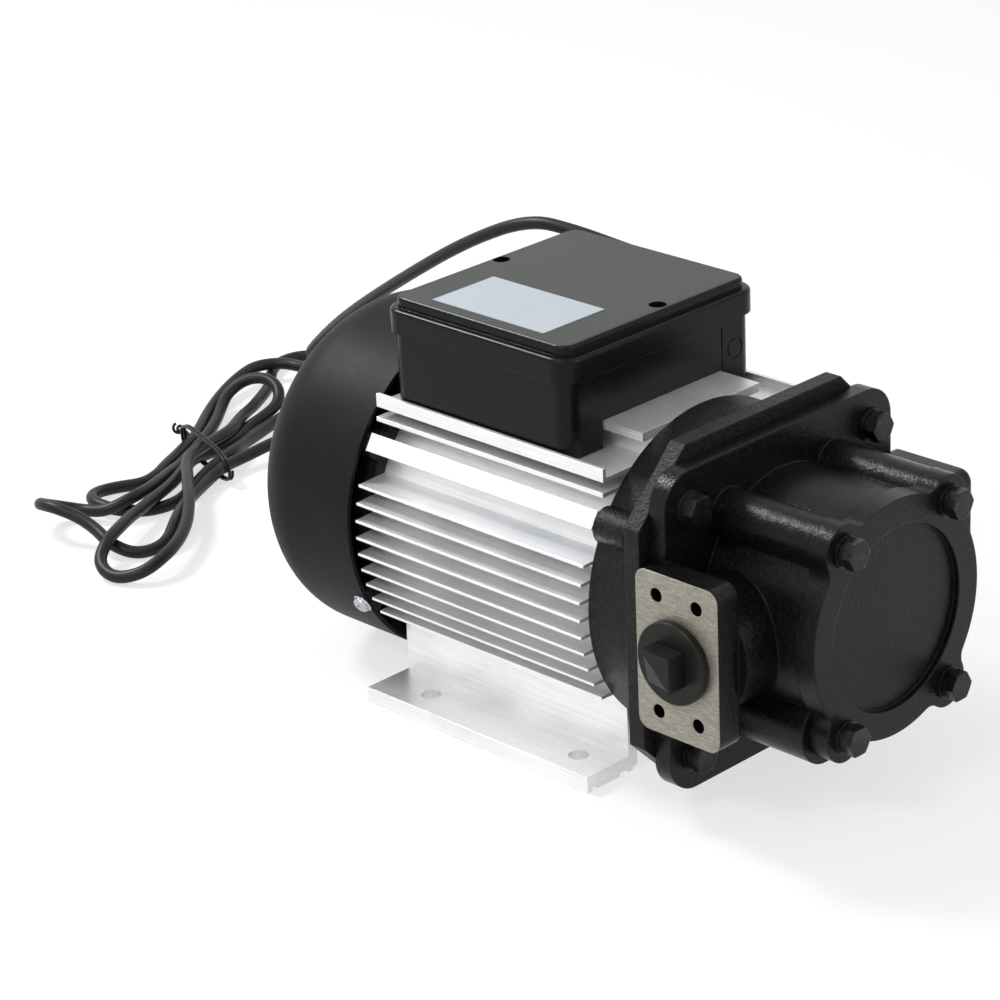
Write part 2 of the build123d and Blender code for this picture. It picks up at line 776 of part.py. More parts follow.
def outer_rotor():
    root = lobe_centre_radius - lobe_radius + 2 * rotor_offset + ring_root_gap
    hollow = Circle(root)
    for number in range(outer_lobes):
        turn = -90 + number * 360 / outer_lobes
        hollow -= Rot(0, 0, turn) * Pos(lobe_centre_radius, 0) * Circle(lobe_radius)
    ring = Pos(0, rotor_z) * (Circle(ring_radius) - hollow)
    return along_x(ring, rotor_rear, rotor_rear + rotor_width)


# Bypass valve
def bypass_poppet():
    radius = valve_bore_radius - poppet_gap
    body = upright(radius, valve_x, valve_y, valve_seat_height - poppet_length, valve_seat_height)
    body += upright(valve_seat_radius - 0.5, valve_x, valve_y, valve_seat_height - 1, valve_seat_height + 2.5)
    return body - upright(radius - poppet_wall, valve_x, valve_y, valve_seat_height - poppet_length - 1,
                          valve_seat_height - 4)


def bypass_spring():
    bottom = valve_boss_bottom + cap_plug_length + spring_wire_radius
    top = valve_seat_height - 4 - spring_wire_radius
    path = Helix(pitch=(top - bottom) / spring_turns, height=top - bottom, radius=spring_radius)
    start = Plane(origin=path @ 0, z_dir=path % 0)
    return Pos(valve_x, valve_y, bottom) * sweep(start * Circle(spring_wire_radius), path=path)


def bypass_cap():
    head_top = valve_boss_bottom - cap_washer_thickness
    head = extrude(Plane.XY.offset(head_top - cap_height) * Pos(valve_x, valve_y) * hexagon(cap_flats),
                   amount=cap_height)
    return head + upright(valve_bore_radius - bolt_gap, valve_x, valve_y, head_top - 1,
                          valve_boss_bottom + cap_plug_length)


def bypass_cap_washer():
    ring = Circle(valve_bore_radius + 3.2) - Circle(valve_bore_radius)
    return extrude(Plane.XY.offset(valve_boss_bottom - cap_washer_thickness) * Pos(valve_x, valve_y) * ring,
                   amount=cap_washer_thickness)


# Port plug on the -Y side
def port_plug():
    seat = pad_face + plug_seal_thickness
    top = seat + plug_disc_thickness
    centre = Pos(pad_x, shaft_height)
    plug = sideways(centre * Circle(port_radius - plug_shank_gap), pad_face - plug_shank_length, seat + 1)
    plug += sideways(centre * Circle(plug_disc_radius), seat, top)
    plug += sideways(centre * RectangleRounded(plug_square, plug_square, 1.2), top - 0.5,
                     top + plug_square_height)
    return plug


def port_plug_seal():
    ring = Circle(plug_seal_outer) - Circle(port_radius + 0.1)
    return sideways(Pos(pad_x, shaft_height) * ring, pad_face, pad_face + plug_seal_thickness)


# Terminal box
def box_sketch(inset):
    """Rounded outline of the box in (X, Y), drawn in from its side walls."""
    return Pos(box_centre_x, 0) * RectangleRounded(box_length - 2 * inset, 2 * (box_half_width - inset),
                                                   max(box_corner - inset, 1.5))


def slab(sketch, bottom, top):
    return extrude(Plane.XY.offset(bottom) * sketch, amount=top - bottom)


def saddle_space(gap, top):
    half = saddle_half_width + gap
    return Pos(box_centre_x, 0, (box_bottom - 1 + top) / 2) * Box(
        box_length + 4, 2 * half, top - box_bottom + 1)


def box_base():
    floor_top = saddle_top + box_floor
    inside = slab(box_sketch(box_wall), box_bottom + box_floor, box_rim + 1)
    inside -= saddle_space(notch_gap + box_wall, floor_top)
    for x in (lid_screw_rear_x, lid_screw_front_x):
        inside -= upright(lid_post_radius, x, lid_screw_y, box_bottom, box_rim)
    base = slab(box_sketch(0), box_bottom, box_rim) - inside
    base -= saddle_space(notch_gap, saddle_top)
    for x in (lid_screw_rear_x, lid_screw_front_x):
        base -= upright(lid_screw_radius + bolt_gap, x, lid_screw_y, floor_top + 2, box_rim + 1)
    for sx in (-1, 1):
        for sy in (-1, 1):
            base -= upright(base_screw_hole + 0.4, box_centre_x + sx * base_screw_x, sy * base_screw_y,
                            saddle_top - 1, floor_top + 1)
    hole = Plane.XZ.offset(-box_half_width - 1) * Pos(gland_x, gland_z) * Circle(
        gland_thread_radius + bolt_gap)
    base -= extrude(hole, amount=box_wall + 2)
    ring = Circle(knockout_radius + 0.4) - Circle(knockout_radius - 0.4)
    base -= along_x(Pos(knockout_y, knockout_z) * ring, box_front - 0.5, box_front + 1)
    line = bar(front_line_y - front_line_width / 2, front_line_y + front_line_width / 2,
               box_bottom - 1, box_rim - 2)
    base -= along_x(line, box_front - 0.5, box_front + 1)
    return base


def lid_gasket():
    ring = box_sketch(0.3) - box_sketch(box_wall - 0.2)
    return slab(ring, box_rim, box_rim + gasket_thickness)


def box_lid():
    seat = box_rim + gasket_thickness
    shell = slab(box_sketch(-lid_overhang), seat, lid_band_top)
    shell = fillet(shell.edges().filter_by(Plane.XY).group_by(Axis.Z)[-1], lid_edge_round)
    top = slab(box_sketch(lid_inset), seat, lid_top)
    top = fillet(top.edges().filter_by(Plane.XY).group_by(Axis.Z)[-1], lid_edge_round)
    shell += top
    hollow = slab(box_sketch(box_wall), seat - 1, lid_top - box_wall)
    for x in (lid_screw_rear_x, lid_screw_front_x):
        hollow -= upright(lid_post_radius, x, lid_screw_y, seat, lid_top)
    shell -= hollow
    for x in (lid_screw_rear_x, lid_screw_front_x):
        shell -= upright(lid_screw_radius + clear_gap, x, lid_screw_y, seat - 1, lid_top + 1)
        shell -= upright(lid_counterbore_radius, x, lid_screw_y, seat + lid_post_floor, lid_top + 1)
    return shell


def lid_screws():
    screws = []
    seat = box_rim + gasket_thickness + lid_post_floor
    for x in (lid_screw_rear_x, lid_screw_front_x):
        screw = upright(lid_screw_head_radius, x, lid_screw_y, seat, seat + lid_screw_head)
        screws.append(screw + upright(lid_screw_radius, x, lid_screw_y, seat - lid_screw_length, seat + 1))
    return group(screws)


def base_screws():
    screws = []
    seat = saddle_top + box_floor
    for sx in (-1, 1):
        for sy in (-1, 1):
            x, y = box_centre_x + sx * base_screw_x, sy * base_screw_y
            head = upright(base_screw_head_radius, x, y, seat, seat + base_screw_head)
            screws.append(head + upright(base_screw_radius, x, y, seat - base_screw_depth, seat + 1))
    return group(screws)


def rating_plate():
    plate = Pos(plate_x, plate_y) * Rectangle(plate_length, plate_width)
    return slab(plate, lid_top, lid_top + plate_thickness)


def terminal_block():
    floor = saddle_top + box_floor
    block = Pos(terminal_x, terminal_y, floor + terminal_height / 2) * Box(
        2 * terminal_half_length, terminal_depth, terminal_height)
    for number in range(terminal_ways):
        x = terminal_x + (number - (terminal_ways - 1) / 2) * terminal_pitch
        block -= upright(2.6, x, terminal_y, floor + terminal_height / 2, floor + terminal_height + 1)
    return block


def run_capacitor():
    floor = saddle_top + box_floor
    can = Pos(capacitor_x, capacitor_y, floor + capacitor_radius) * Rot(90, 0, 0) * Cylinder(
        capacitor_radius, capacitor_length)
    return fillet(can.edges().filter_by(GeomType.CIRCLE), 1.5)


# Cable gland on the +Y wall
def gland_body():
    wall = box_half_width
    centre = Pos(gland_x, gland_z)
    outward = Plane.XZ.offset(-wall - gland_hex)
    flange = extrude(outward * centre * hexagon(gland_flats + 2), amount=gland_hex)
    thread = extrude(outward * centre * Circle(gland_thread_radius),
                     amount=gland_hex + box_wall + locknut_thickness + thread_end)
    inner = Plane.XZ.offset(-wall - gland_hex - 1)
    return flange + thread - extrude(inner * centre * Circle(cable_radius + 1.5), amount=40)


def gland_nut():
    start = box_half_width + gland_hex
    centre = Pos(gland_x, gland_z)
    outer = extrude(Plane.XZ.offset(-start - 9) * centre * hexagon(gland_flats), amount=9)
    tip = Solid.make_cone(gland_flats / 2 - 0.5, gland_nut_tip_radius, gland_nut_length - 9)
    outer += Pos(gland_x, start + 9, gland_z) * Rot(-90, 0, 0) * tip
    bore = Plane.XZ.offset(-start - gland_nut_length - 1) * centre * Circle(cable_radius + 0.3)
    return outer - extrude(bore, amount=gland_nut_length + 3)


def gland_locknut():
    face = box_half_width - box_wall
    ring = hexagon(gland_flats) - Circle(gland_thread_radius + bolt_gap)
    return extrude(Plane.XZ.offset(-face) * Pos(gland_x, gland_z) * ring, amount=locknut_thickness)


# Cable. It leaves the gland, arches back past the far side of the fan cover and
# comes down to a tied hank on the floor; a short tail ends in the plug.
lead_route = [
    (gland_x, box_half_width + 6, gland_z),
    (gland_x, 97, gland_z),
    (-52.7, 120.8, 170.5),
    (-75.6, 134.5, 169.0),
    (-105.6, 135.5, 170.5),
    (-134.1, 129, 176.0),
    (-161.9, 123, 178.4),
    (-204.6, 118, 158.7),
    (-266.3, 126, 121.5),
    (-336.7, 144, 77.7),
    (-397.0, 172, 34.0),
    (-440.0, 196, 11.0),
]
tail_route = [
    (-390, 98, 9),
    (-366, 107, 10),
    (-340, plug_y, plug_radius),
    (plug_x + 5, plug_y, plug_radius),
]
hank_outline = [
    (-467, 207), (-462, 222), (-450, 229), (-434, 228), (-419, 217), (-400, 174), (-374, 128), (-350, 108),
    (-342, 60), (-328, 26), (-288, -17), (-268, -52), (-272, -74), (-290, -81), (-306, -76), (-316, -58),
    (-350, -58), (-381, -67), (-391, -57), (-389, -36), (-376, -24), (-366, 2), (-383, 35), (-402, 66),
    (-430, 106), (-455, 158), (-456, 176),
]
hank_far_hole = [(-440, 166), (-441, 150), (-433, 130), (-421, 108), (-406, 112), (-418, 137), (-431, 158)]
hank_near_hole = [
    (-292, -30), (-284, -40), (-278, -55), (-282, -68), (-292, -71), (-303, -67), (-307, -57), (-300, -52),
    (-294, -42),
]
hank_height = 18.0
tie_centre = (-372.5, 62.9)
tie_direction = 72.0
tie_inside_width = 66.0
tie_inside_height = 14.6
tie_wire = 1.6


def corner_radii(route):
    """Largest even arcs that the runs allow: 0.45 of the shorter run over tan of half the turn."""
    radii = []
    for before, point, after in zip(route, route[1:], route[2:]):
        first = Vector(*point) - Vector(*before)
        second = Vector(*after) - Vector(*point)
        half_turn = math.radians(first.get_angle(second) / 2)
        radii.append(0.45 * min(first.length, second.length) / math.tan(half_turn))
    return radii


def cable_tube(name, route):
    radii = corner_radii(route)
    path = FilletPolyline(*route, radius=radii)
    start = Plane(origin=path @ 0, z_dir=path % 0)
    tube = sweep(start * Circle(cable_radius), path=path)
    print(name, "length", round(path.length, 1), "arc radii", [round(radius) for radius in radii],
          "volume over section times length",
          round(tube.volume / (math.pi * cable_radius**2 * path.length), 4))
    return tube


def tie_plane(shift):
    """Plane across the waist of the hank; its local axes are width and height."""
    angle = math.radians(tie_direction)
    along = Vector(math.cos(angle), math.sin(angle), 0)
    origin = Vector(*tie_centre, hank_height / 2) + along * shift
    return Plane(origin=origin, x_dir=(math.sin(angle), -math.cos(angle), 0), z_dir=along)


def cable_hank():
    """The hank as one slab with the outline of its strands."""
    outline = make_face(Polyline(*hank_outline, close=True))
    for hole in (hank_far_hole, hank_near_hole):
        outline -= make_face(Polyline(*hole, close=True))
    hank = extrude(outline, amount=hank_height)
    depth = tie_wire + 2 * bolt_gap
    ring = Rectangle(4 * tie_inside_width, 2 * hank_height) - Rectangle(
        tie_inside_width - 2 * running_gap, tie_inside_height - 2 * running_gap)
    return hank - extrude(tie_plane(-depth / 2) * ring, amount=depth)


def twist_tie():
    """Wire band round the waist of the hank."""
    ring = Rectangle(tie_inside_width + 2 * tie_wire, tie_inside_height + 2 * tie_wire)
    ring -= Rectangle(tie_inside_width, tie_inside_height)
    return extrude(tie_plane(-tie_wire / 2) * ring, amount=tie_wire)


def mains_plug():
    """Round moulded two-pin plug with a tapered strain relief."""
    axis = Axis((0, plug_y, plug_radius), (1, 0, 0))
    back = plug_x + relief_length
    front = back + plug_length
    profile = [(plug_x, cable_radius + running_gap), (plug_x, relief_radius),
               (back, plug_radius * 0.7), (back + 5, plug_radius),
               (front - 2, plug_radius), (front, plug_radius - 2), (front, 0), (plug_x + relief_grip, 0),
               (plug_x + relief_grip, cable_radius + running_gap)]
    return revolve(Plane.XZ.offset(-plug_y) * make_face(Polyline(
        *[(x, plug_radius + radius) for x, radius in profile], close=True)), axis, 360)


def plug_pin_rods(radius, start, end):
    return [rod(radius, start, end, plug_y + side * pin_spacing / 2, plug_radius) for side in (-1, 1)]


def plug_pins():
    face = plug_x + relief_length + plug_length
    pins = plug_pin_rods(pin_radius, face - pin_seat, face + pin_length)
    return group([chamfer(pin.edges().filter_by(GeomType.CIRCLE).sort_by(Axis.X)[-1], 0.8) for pin in pins])


def lip_seal():
    """Spring-backed shaft seal, as one ring with an open groove towards the pump."""
    inner, outer = shaft_pump_radius + running_gap, seal_radius - running_gap
    front = motor_face + seal_width
    return turned([(motor_face, inner + 1.5), (motor_face, outer), (front, outer), (front, outer - 1.6),
                   (motor_face + 1.6, outer - 1.6), (motor_face + 1.6, inner + 2.6), (front, inner + 2.6),
                   (front, inner + 0.5), (front - 1.5, inner)])


def shaft_bush():
    inner, outer = shaft_pump_radius + running_gap, bush_radius - running_gap / 2
    return turned([(bush_rear, inner), (bush_rear, outer), (pocket_floor, outer), (pocket_floor, inner)])


def cover_seal_ring():
    middle = groove_radius + groove_width / 2
    return Pos(body_front - groove_depth / 2, 0, rotor_z) * Rot(0, 90, 0) * Torus(middle, groove_depth / 2)


def drive_key():
    loose = key_box(-0.03)
    return Pos(0, 0, 0.015) * loose


# Pieces
keep("motor_housing", housing())
keep("stator_core", stator())
keep("stator_windings", group([winding(core_rear, core_rear - winding_reach),
                               winding(core_front, core_front + winding_reach)]))
rotor_core_radius = stator_inner_radius - air_gap
keep("rotor_core", turned([(core_rear, shaft_core_radius), (core_rear, rotor_core_radius),
                           (core_front, rotor_core_radius), (core_front, shaft_core_radius)]))
keep("motor_shaft", shaft())
keep("rear_bearing", bearing(rear_bearing_rear))
keep("front_bearing", bearing(front_bearing_rear))
keep("rear_end_shield", rear_shield())
keep("cooling_fan", fan())
keep("fan_cover", fan_cover())
keep("fan_cover_screws", cover_screws())
keep("tie_rods", tie_rods())
keep("front_end_shield", front_shield())
keep("pump_body", pump_body())
keep("body_bolts", group([hex_bolt(y, z, body_flange_front, body_bolt_reach) for y, z in body_bolts]))
keep("body_bolt_washers", group([washer(y, z, body_flange_front, washer_radius, washer_thickness)
                                 for y, z in body_bolts]))
keep("body_spring_washers", group([washer(y, z, body_flange_front + washer_thickness, spring_washer_radius,
                                          spring_washer_thickness) for y, z in body_bolts]))
keep("pump_cover", pump_cover())
keep("cover_bolts", group([hex_bolt(y, z, cover_front, cover_bolt_reach) for y, z in cover_bolts]))
keep("cover_bolt_washers", group([washer(y, z, cover_front, washer_radius, washer_thickness)
                                  for y, z in cover_bolts]))
keep("cover_spring_washers", group([washer(y, z, cover_front + washer_thickness, spring_washer_radius,
                                           spring_washer_thickness) for y, z in cover_bolts]))
keep("cover_seal_ring", cover_seal_ring())
keep("shaft_seal", lip_seal())
keep("shaft_bush", shaft_bush())
keep("inner_rotor", inner_rotor())
keep("outer_rotor", outer_rotor())
keep("drive_key", drive_key())
keep("bypass_poppet", bypass_poppet())
keep("bypass_spring", bypass_spring())
keep("bypass_cap", bypass_cap())
keep("bypass_cap_washer", bypass_cap_washer())
keep("port_plug", port_plug())
keep("port_plug_seal", port_plug_seal())
keep("terminal_box_base", box_base())
keep("lid_gasket", lid_gasket())
keep("terminal_box_lid", box_lid())
keep("lid_screws", lid_screws())
keep("box_base_screws", base_screws())
keep("rating_plate", rating_plate())
keep("terminal_block", terminal_block())
keep("run_capacitor", run_capacitor())
keep("cable_gland_body", gland_body())
keep("cable_gland_nut", gland_nut())
keep("cable_gland_locknut", gland_locknut())
keep("cable_lead", cable_tube("cable_lead", lead_route))
keep("cable_hank", cable_hank())
keep("cable_tail", cable_tube("cable_tail", tail_route))
keep("twist_tie", twist_tie())
pin_face = plug_x + relief_length + plug_length
pin_holes = group(plug_pin_rods(pin_radius + bolt_gap / 2, pin_face - pin_seat, pin_face + 1))
keep("mains_plug", mains_plug() - pin_holes)
keep("plug_pins", plug_pins())

os.makedirs("parts", exist_ok=True)
for name, shape in pieces.items():
    export_step(shape, f"parts/{name}.step")
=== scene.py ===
"""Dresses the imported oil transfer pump: camera, studio, finishes, mains cable and small pieces.

Every size is in millimetres where it is written and in metres where it meets Blender. The frame is the
part's own: X along the shaft towards the pump head, Z up, the floor at Z = 0.
"""

from __future__ import annotations

import json
import logging
import math
from dataclasses import dataclass
from enum import Enum

import bpy
import numpy as np
from mathutils import Matrix, Vector

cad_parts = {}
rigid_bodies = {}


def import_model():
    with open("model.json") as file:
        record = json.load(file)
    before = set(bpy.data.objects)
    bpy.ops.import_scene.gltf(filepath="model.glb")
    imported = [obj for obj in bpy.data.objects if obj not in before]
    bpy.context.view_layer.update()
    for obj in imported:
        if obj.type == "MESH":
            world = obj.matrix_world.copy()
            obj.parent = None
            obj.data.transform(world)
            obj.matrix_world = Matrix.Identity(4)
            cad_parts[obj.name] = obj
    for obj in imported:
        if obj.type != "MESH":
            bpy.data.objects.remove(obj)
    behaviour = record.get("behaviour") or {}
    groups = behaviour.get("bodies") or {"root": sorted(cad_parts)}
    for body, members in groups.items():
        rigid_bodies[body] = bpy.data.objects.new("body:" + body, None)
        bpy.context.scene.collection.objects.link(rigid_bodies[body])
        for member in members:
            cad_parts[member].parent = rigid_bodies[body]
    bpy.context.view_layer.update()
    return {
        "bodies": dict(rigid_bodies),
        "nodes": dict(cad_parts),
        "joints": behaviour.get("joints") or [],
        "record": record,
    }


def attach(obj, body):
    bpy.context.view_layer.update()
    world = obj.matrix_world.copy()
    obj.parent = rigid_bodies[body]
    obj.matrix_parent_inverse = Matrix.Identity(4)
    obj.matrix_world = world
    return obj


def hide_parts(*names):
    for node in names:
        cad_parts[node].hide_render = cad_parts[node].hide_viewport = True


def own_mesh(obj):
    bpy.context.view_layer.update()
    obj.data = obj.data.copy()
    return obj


MM = 0.001
log = logging.getLogger("oil_pump")

Colour = tuple[float, float, float]
Point = tuple[float, float, float]

# Centre line of the mains cable from the gland's mouth to the plug, hank included
CABLE_POINTS: list[Point] = [
    (-40.0, 97.0, 172.0), (-52.7, 120.8, 170.5), (-75.6, 134.5, 169.0), (-105.6, 135.5, 170.5),
    (-134.1, 129.0, 176.0), (-161.9, 123.0, 178.4), (-204.6, 118.0, 158.7), (-266.3, 126.0, 121.5),
    (-336.7, 144.0, 77.7), (-393.4, 167.1, 37.7), (-400.5, 172.2, 31.0), (-415.2, 185.5, 13.2),
    (-429.7, 190.4, 9.8), (-444.7, 185.5, 10.7), (-452.8, 171.6, 10.6), (-449.5, 155.6, 9.2),
    (-443.6, 140.1, 7.6), (-436.2, 124.9, 5.6), (-427.5, 110.3, 3.7), (-417.0, 96.9, 3.7),
    (-407.1, 83.6, 3.7), (-399.5, 69.3, 3.7), (-392.4, 55.7, 3.7), (-385.5, 43.1, 4.6),
    (-378.5, 31.3, 4.5), (-376.0, 18.6, 3.7), (-382.9, 7.1, 3.7), (-385.1, -3.4, 4.3),
    (-383.6, -11.0, 5.1), (-379.8, -16.2, 5.7), (-374.1, -19.5, 6.1), (-366.2, -20.4, 5.9),
    (-355.0, -17.1, 4.6), (-343.4, -4.9, 3.5), (-339.4, 11.8, 3.9), (-346.8, 27.6, 3.8),
    (-354.4, 43.2, 4.9), (-360.2, 59.2, 7.0), (-363.5, 75.5, 8.6), (-371.6, 89.3, 5.8),
    (-378.3, 103.8, 4.3), (-384.0, 118.7, 3.6), (-389.1, 133.9, 3.9), (-394.5, 149.1, 3.7),
    (-400.3, 164.1, 3.7), (-406.7, 178.9, 3.7), (-413.0, 193.7, 3.8), (-420.0, 208.1, 3.9),
    (-431.3, 219.2, 4.1), (-447.1, 220.3, 4.3), (-458.5, 209.6, 4.2), (-458.8, 193.9, 3.9),
    (-449.5, 181.1, 3.6), (-437.7, 170.5, 3.9), (-427.5, 158.1, 5.0), (-418.8, 144.5, 5.5),
    (-410.1, 130.8, 6.4), (-401.8, 116.8, 8.2), (-392.0, 103.7, 10.5), (-382.7, 90.2, 11.7),
    (-378.6, 74.4, 11.9), (-373.4, 59.0, 12.9), (-366.3, 44.7, 14.4), (-355.1, 33.7, 14.8),
    (-342.6, 23.9, 15.5), (-330.3, 13.7, 16.1), (-317.5, 3.5, 16.4), (-305.0, -7.5, 15.4),
    (-293.1, -19.7, 13.7), (-282.8, -33.8, 12.6), (-274.4, -49.3, 12.1), (-274.8, -66.0, 6.6),
    (-288.4, -75.7, 2.6), (-303.9, -73.6, 6.9), (-310.9, -60.5, 14.0), (-318.3, -45.9, 14.3),
    (-326.9, -32.0, 13.0), (-334.2, -17.3, 11.8), (-341.5, -2.5, 10.9), (-349.6, 12.2, 9.0),
    (-357.7, 27.1, 7.9), (-366.6, 41.7, 7.9), (-376.1, 55.7, 6.9), (-381.8, 70.7, 3.1),
    (-382.1, 86.7, 4.8), (-388.1, 101.0, 3.7), (-394.8, 114.6, 3.7), (-396.8, 129.1, 5.1),
    (-398.0, 142.3, 9.3), (-406.5, 149.7, 15.3), (-418.1, 149.7, 18.4), (-428.2, 142.9, 16.8),
    (-431.9, 131.2, 10.7), (-424.9, 118.9, 5.2), (-414.5, 106.2, 4.3), (-404.6, 92.3, 4.3),
    (-395.6, 77.7, 4.0), (-388.1, 62.4, 3.5), (-379.1, 48.1, 4.3), (-369.9, 34.0, 7.6),
    (-361.0, 19.2, 9.8), (-353.1, 3.7, 11.6), (-348.2, -12.7, 12.6), (-355.5, -26.3, 6.9),
    (-370.0, -30.3, 5.2), (-377.8, -39.8, 8.4), (-378.7, -49.1, 12.4), (-374.8, -56.0, 16.4),
    (-367.1, -60.0, 19.4), (-356.2, -59.7, 20.4), (-345.2, -53.8, 16.6), (-331.7, -51.9, 12.1),
    (-317.0, -54.2, 7.6), (-302.8, -47.4, 2.9), (-297.2, -31.3, 5.0), (-306.2, -16.9, 11.0),
    (-317.8, -2.5, 10.6), (-328.7, 12.2, 8.7), (-338.5, 27.5, 7.0), (-346.9, 43.4, 6.4),
    (-353.4, 60.0, 7.1), (-354.6, 77.6, 7.1), (-353.2, 94.3, 9.3), (-344.4, 106.6, 14.6),
    (-329.9, 108.6, 16.5), (-322.0, 110.0, 18.0), (-314.0, 110.0, 18.0),
]


class Body(Enum):
    """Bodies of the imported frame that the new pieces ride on."""

    PUMP = "pump_unit"
    PORT_PLUG = "near_port_plug"


class CordFact(Enum):
    """What is declared of the cable: its far end, how stiff it is and how it lies."""

    FAR_END = "plug"
    STIFFNESS = "medium"
    LAY = "coiled"


# Shader maths


class Value:
    """One output of a shader node, with Python's operators as Math nodes."""

    def __init__(self, graph: Graph, socket: bpy.types.NodeSocket) -> None:
        """Keep a socket and the graph that it belongs to.

        Args:
            graph: The material's graph.
            socket: The output that this value stands for.
        """
        self.graph = graph
        self.socket = socket

    def math(self, operation: str, *others: Value | float) -> Value:
        """Feed this value and others to one Math node.

        Args:
            operation: The Math node's operation.
            *others: Its second and third inputs.

        Returns:
            The node's result.
        """
        sockets = dict(enumerate((self, *others)))
        return self.graph.add("ShaderNodeMath", {"operation": operation}, sockets)

    def __add__(self, other: Value | float) -> Value:
        """Sum."""
        return self.math("ADD", other)

    def __radd__(self, other: float) -> Value:
        """Sum with a number on the left."""
        return self.math("ADD", other)

    def __sub__(self, other: Value | float) -> Value:
        """Difference."""
        return self.math("SUBTRACT", other)

    def __rsub__(self, other: float) -> Value:
        """Difference from a number on the left."""
        return self.graph.add("ShaderNodeMath", {"operation": "SUBTRACT"}, {0: other, 1: self})

    def __mul__(self, other: Value | float) -> Value:
        """Product."""
        return self.math("MULTIPLY", other)

    def __rmul__(self, other: float) -> Value:
        """Product with a number on the left."""
        return self.math("MULTIPLY", other)

    def __truediv__(self, other: Value | float) -> Value:
        """Quotient."""
        return self.math("DIVIDE", other)

    def __gt__(self, other: Value | float) -> Value:
        """One where this value is larger, otherwise nought."""
        return self.math("GREATER_THAN", other)

    def __abs__(self) -> Value:
        """Size without sign."""
        return self.math("ABSOLUTE")

    def clamp(self) -> Value:
        """The value held between nought and one."""
        return self.graph.add("ShaderNodeClamp", {}, {"Value": self})

    def ramp(self, low: float, high: float) -> Value:
        """Rise smoothly from nought at low to one at high.

        Args:
            low: Where the rise starts.
            high: Where it ends.

        Returns:
            The risen value.
        """
        settings = {"interpolation_type": "SMOOTHSTEP", "clamp": True}
        sockets = {"Value": self, "From Min": low, "From Max": high}
        return self.graph.add("ShaderNodeMapRange", settings, sockets)


class Graph:
    """The nodes of one node tree."""

    def __init__(self, tree: bpy.types.NodeTree) -> None:
        """Start with an empty tree.

        Args:
            tree: The tree of a material or of the world.
        """
        self.tree = tree
        self.tree.nodes.clear()

    def put(self, socket: bpy.types.NodeSocket, value: object) -> None:
        """Link a value to a socket, or set the socket.

        Args:
            socket: The input to fill.
            value: A Value, a number, a colour or a vector.
        """
        if isinstance(value, Value):
            self.tree.links.new(value.socket, socket)
            return
        if isinstance(value, tuple) and len(value) == 3 and socket.type == "RGBA":
            value = (*value, 1.0)
        socket.default_value = value

    def add(self, kind: str, settings: dict[str, object], sockets: dict[int | str, object],
            out: int | str | None = 0) -> Value | None:
        """Add a node of any kind.

        Args:
            kind: The node's type.
            settings: Its properties, set before its sockets.
            sockets: What goes to each input, by number or name.
            out: Which output is wanted, if the node has any.

        Returns:
            That output.
        """
        node = self.tree.nodes.new(kind)
        for key, value in settings.items():
            setattr(node, key, value)
        for key, value in sockets.items():
            self.put(node.inputs[key], value)
        return None if out is None else Value(self, node.outputs[out])

    def place(self) -> Value:
        """Object coordinates, in metres."""
        return self.add("ShaderNodeTexCoord", {}, {}, "Object")

    def axis(self, name: str) -> Value:
        """One of the object coordinates, in metres."""
        return self.add("ShaderNodeSeparateXYZ", {}, {0: self.place()}, name)

    def stretched(self, scale: Point) -> Value:
        """Object coordinates with each axis scaled."""
        return self.add("ShaderNodeMapping", {}, {"Vector": self.place(), "Scale": scale})

    def noise(self, scale: float, detail: float = 3.0, rough: float = 0.5,
              stretch: Point = (1, 1, 1)) -> Value:
        """Smooth noise over the object.

        Args:
            scale: Features to the metre.
            detail: Octaves.
            rough: How strong the small octaves are.
            stretch: Scale of each axis, to draw the noise out along one.

        Returns:
            Noise about one half.
        """
        sockets = {"Vector": self.stretched(stretch), "Scale": scale, "Detail": detail, "Roughness": rough}
        return self.add("ShaderNodeTexNoise", {}, sockets, 0)

    def cells(self, scale: float) -> Value:
        """Distance to the nearest of many scattered points.

        Args:
            scale: Points to the metre.

        Returns:
            That distance, about one half at most.
        """
        return self.add("ShaderNodeTexVoronoi", {}, {"Vector": self.place(), "Scale": scale}, "Distance")

    def mix(self, share: Value | float, first: object, second: object) -> Value:
        """Blend two colours.

        Args:
            share: How much of the second.
            first: The colour at nought.
            second: The colour at one.

        Returns:
            The blended colour.
        """
        return self.add("ShaderNodeMix", {"data_type": "RGBA"}, {0: share, 6: first, 7: second}, 2)

    def direct_ray(self) -> Value:
        """One for what the camera, a reflection or glass sees, and nought for diffuse light.

        Returns:
            Nought or one.
        """
        camera = self.add("ShaderNodeLightPath", {}, {}, "Is Camera Ray")
        glossy = self.add("ShaderNodeLightPath", {}, {}, "Is Glossy Ray")
        through = self.add("ShaderNodeLightPath", {}, {}, "Is Transmission Ray")
        return (camera + glossy + through).clamp()

    def edges(self, radius: float) -> Value:
        """Normal with the sharp edges rounded to a radius, in metres."""
        return self.add("ShaderNodeBevel", {"samples": 4}, {"Radius": radius})

    def bump(self, height: Value, depth: float, normal: Value | None = None) -> Value:
        """Normal of a surface that a height raises.

        Args:
            height: From nought to one.
            depth: How far one stands above nought, in metres.
            normal: The normal that it starts from.

        Returns:
            The new normal.
        """
        sockets: dict[int | str, object] = {"Height": height, "Distance": depth, "Strength": 1.0}
        if normal is not None:
            sockets["Normal"] = normal
        return self.add("ShaderNodeBump", {}, sockets)


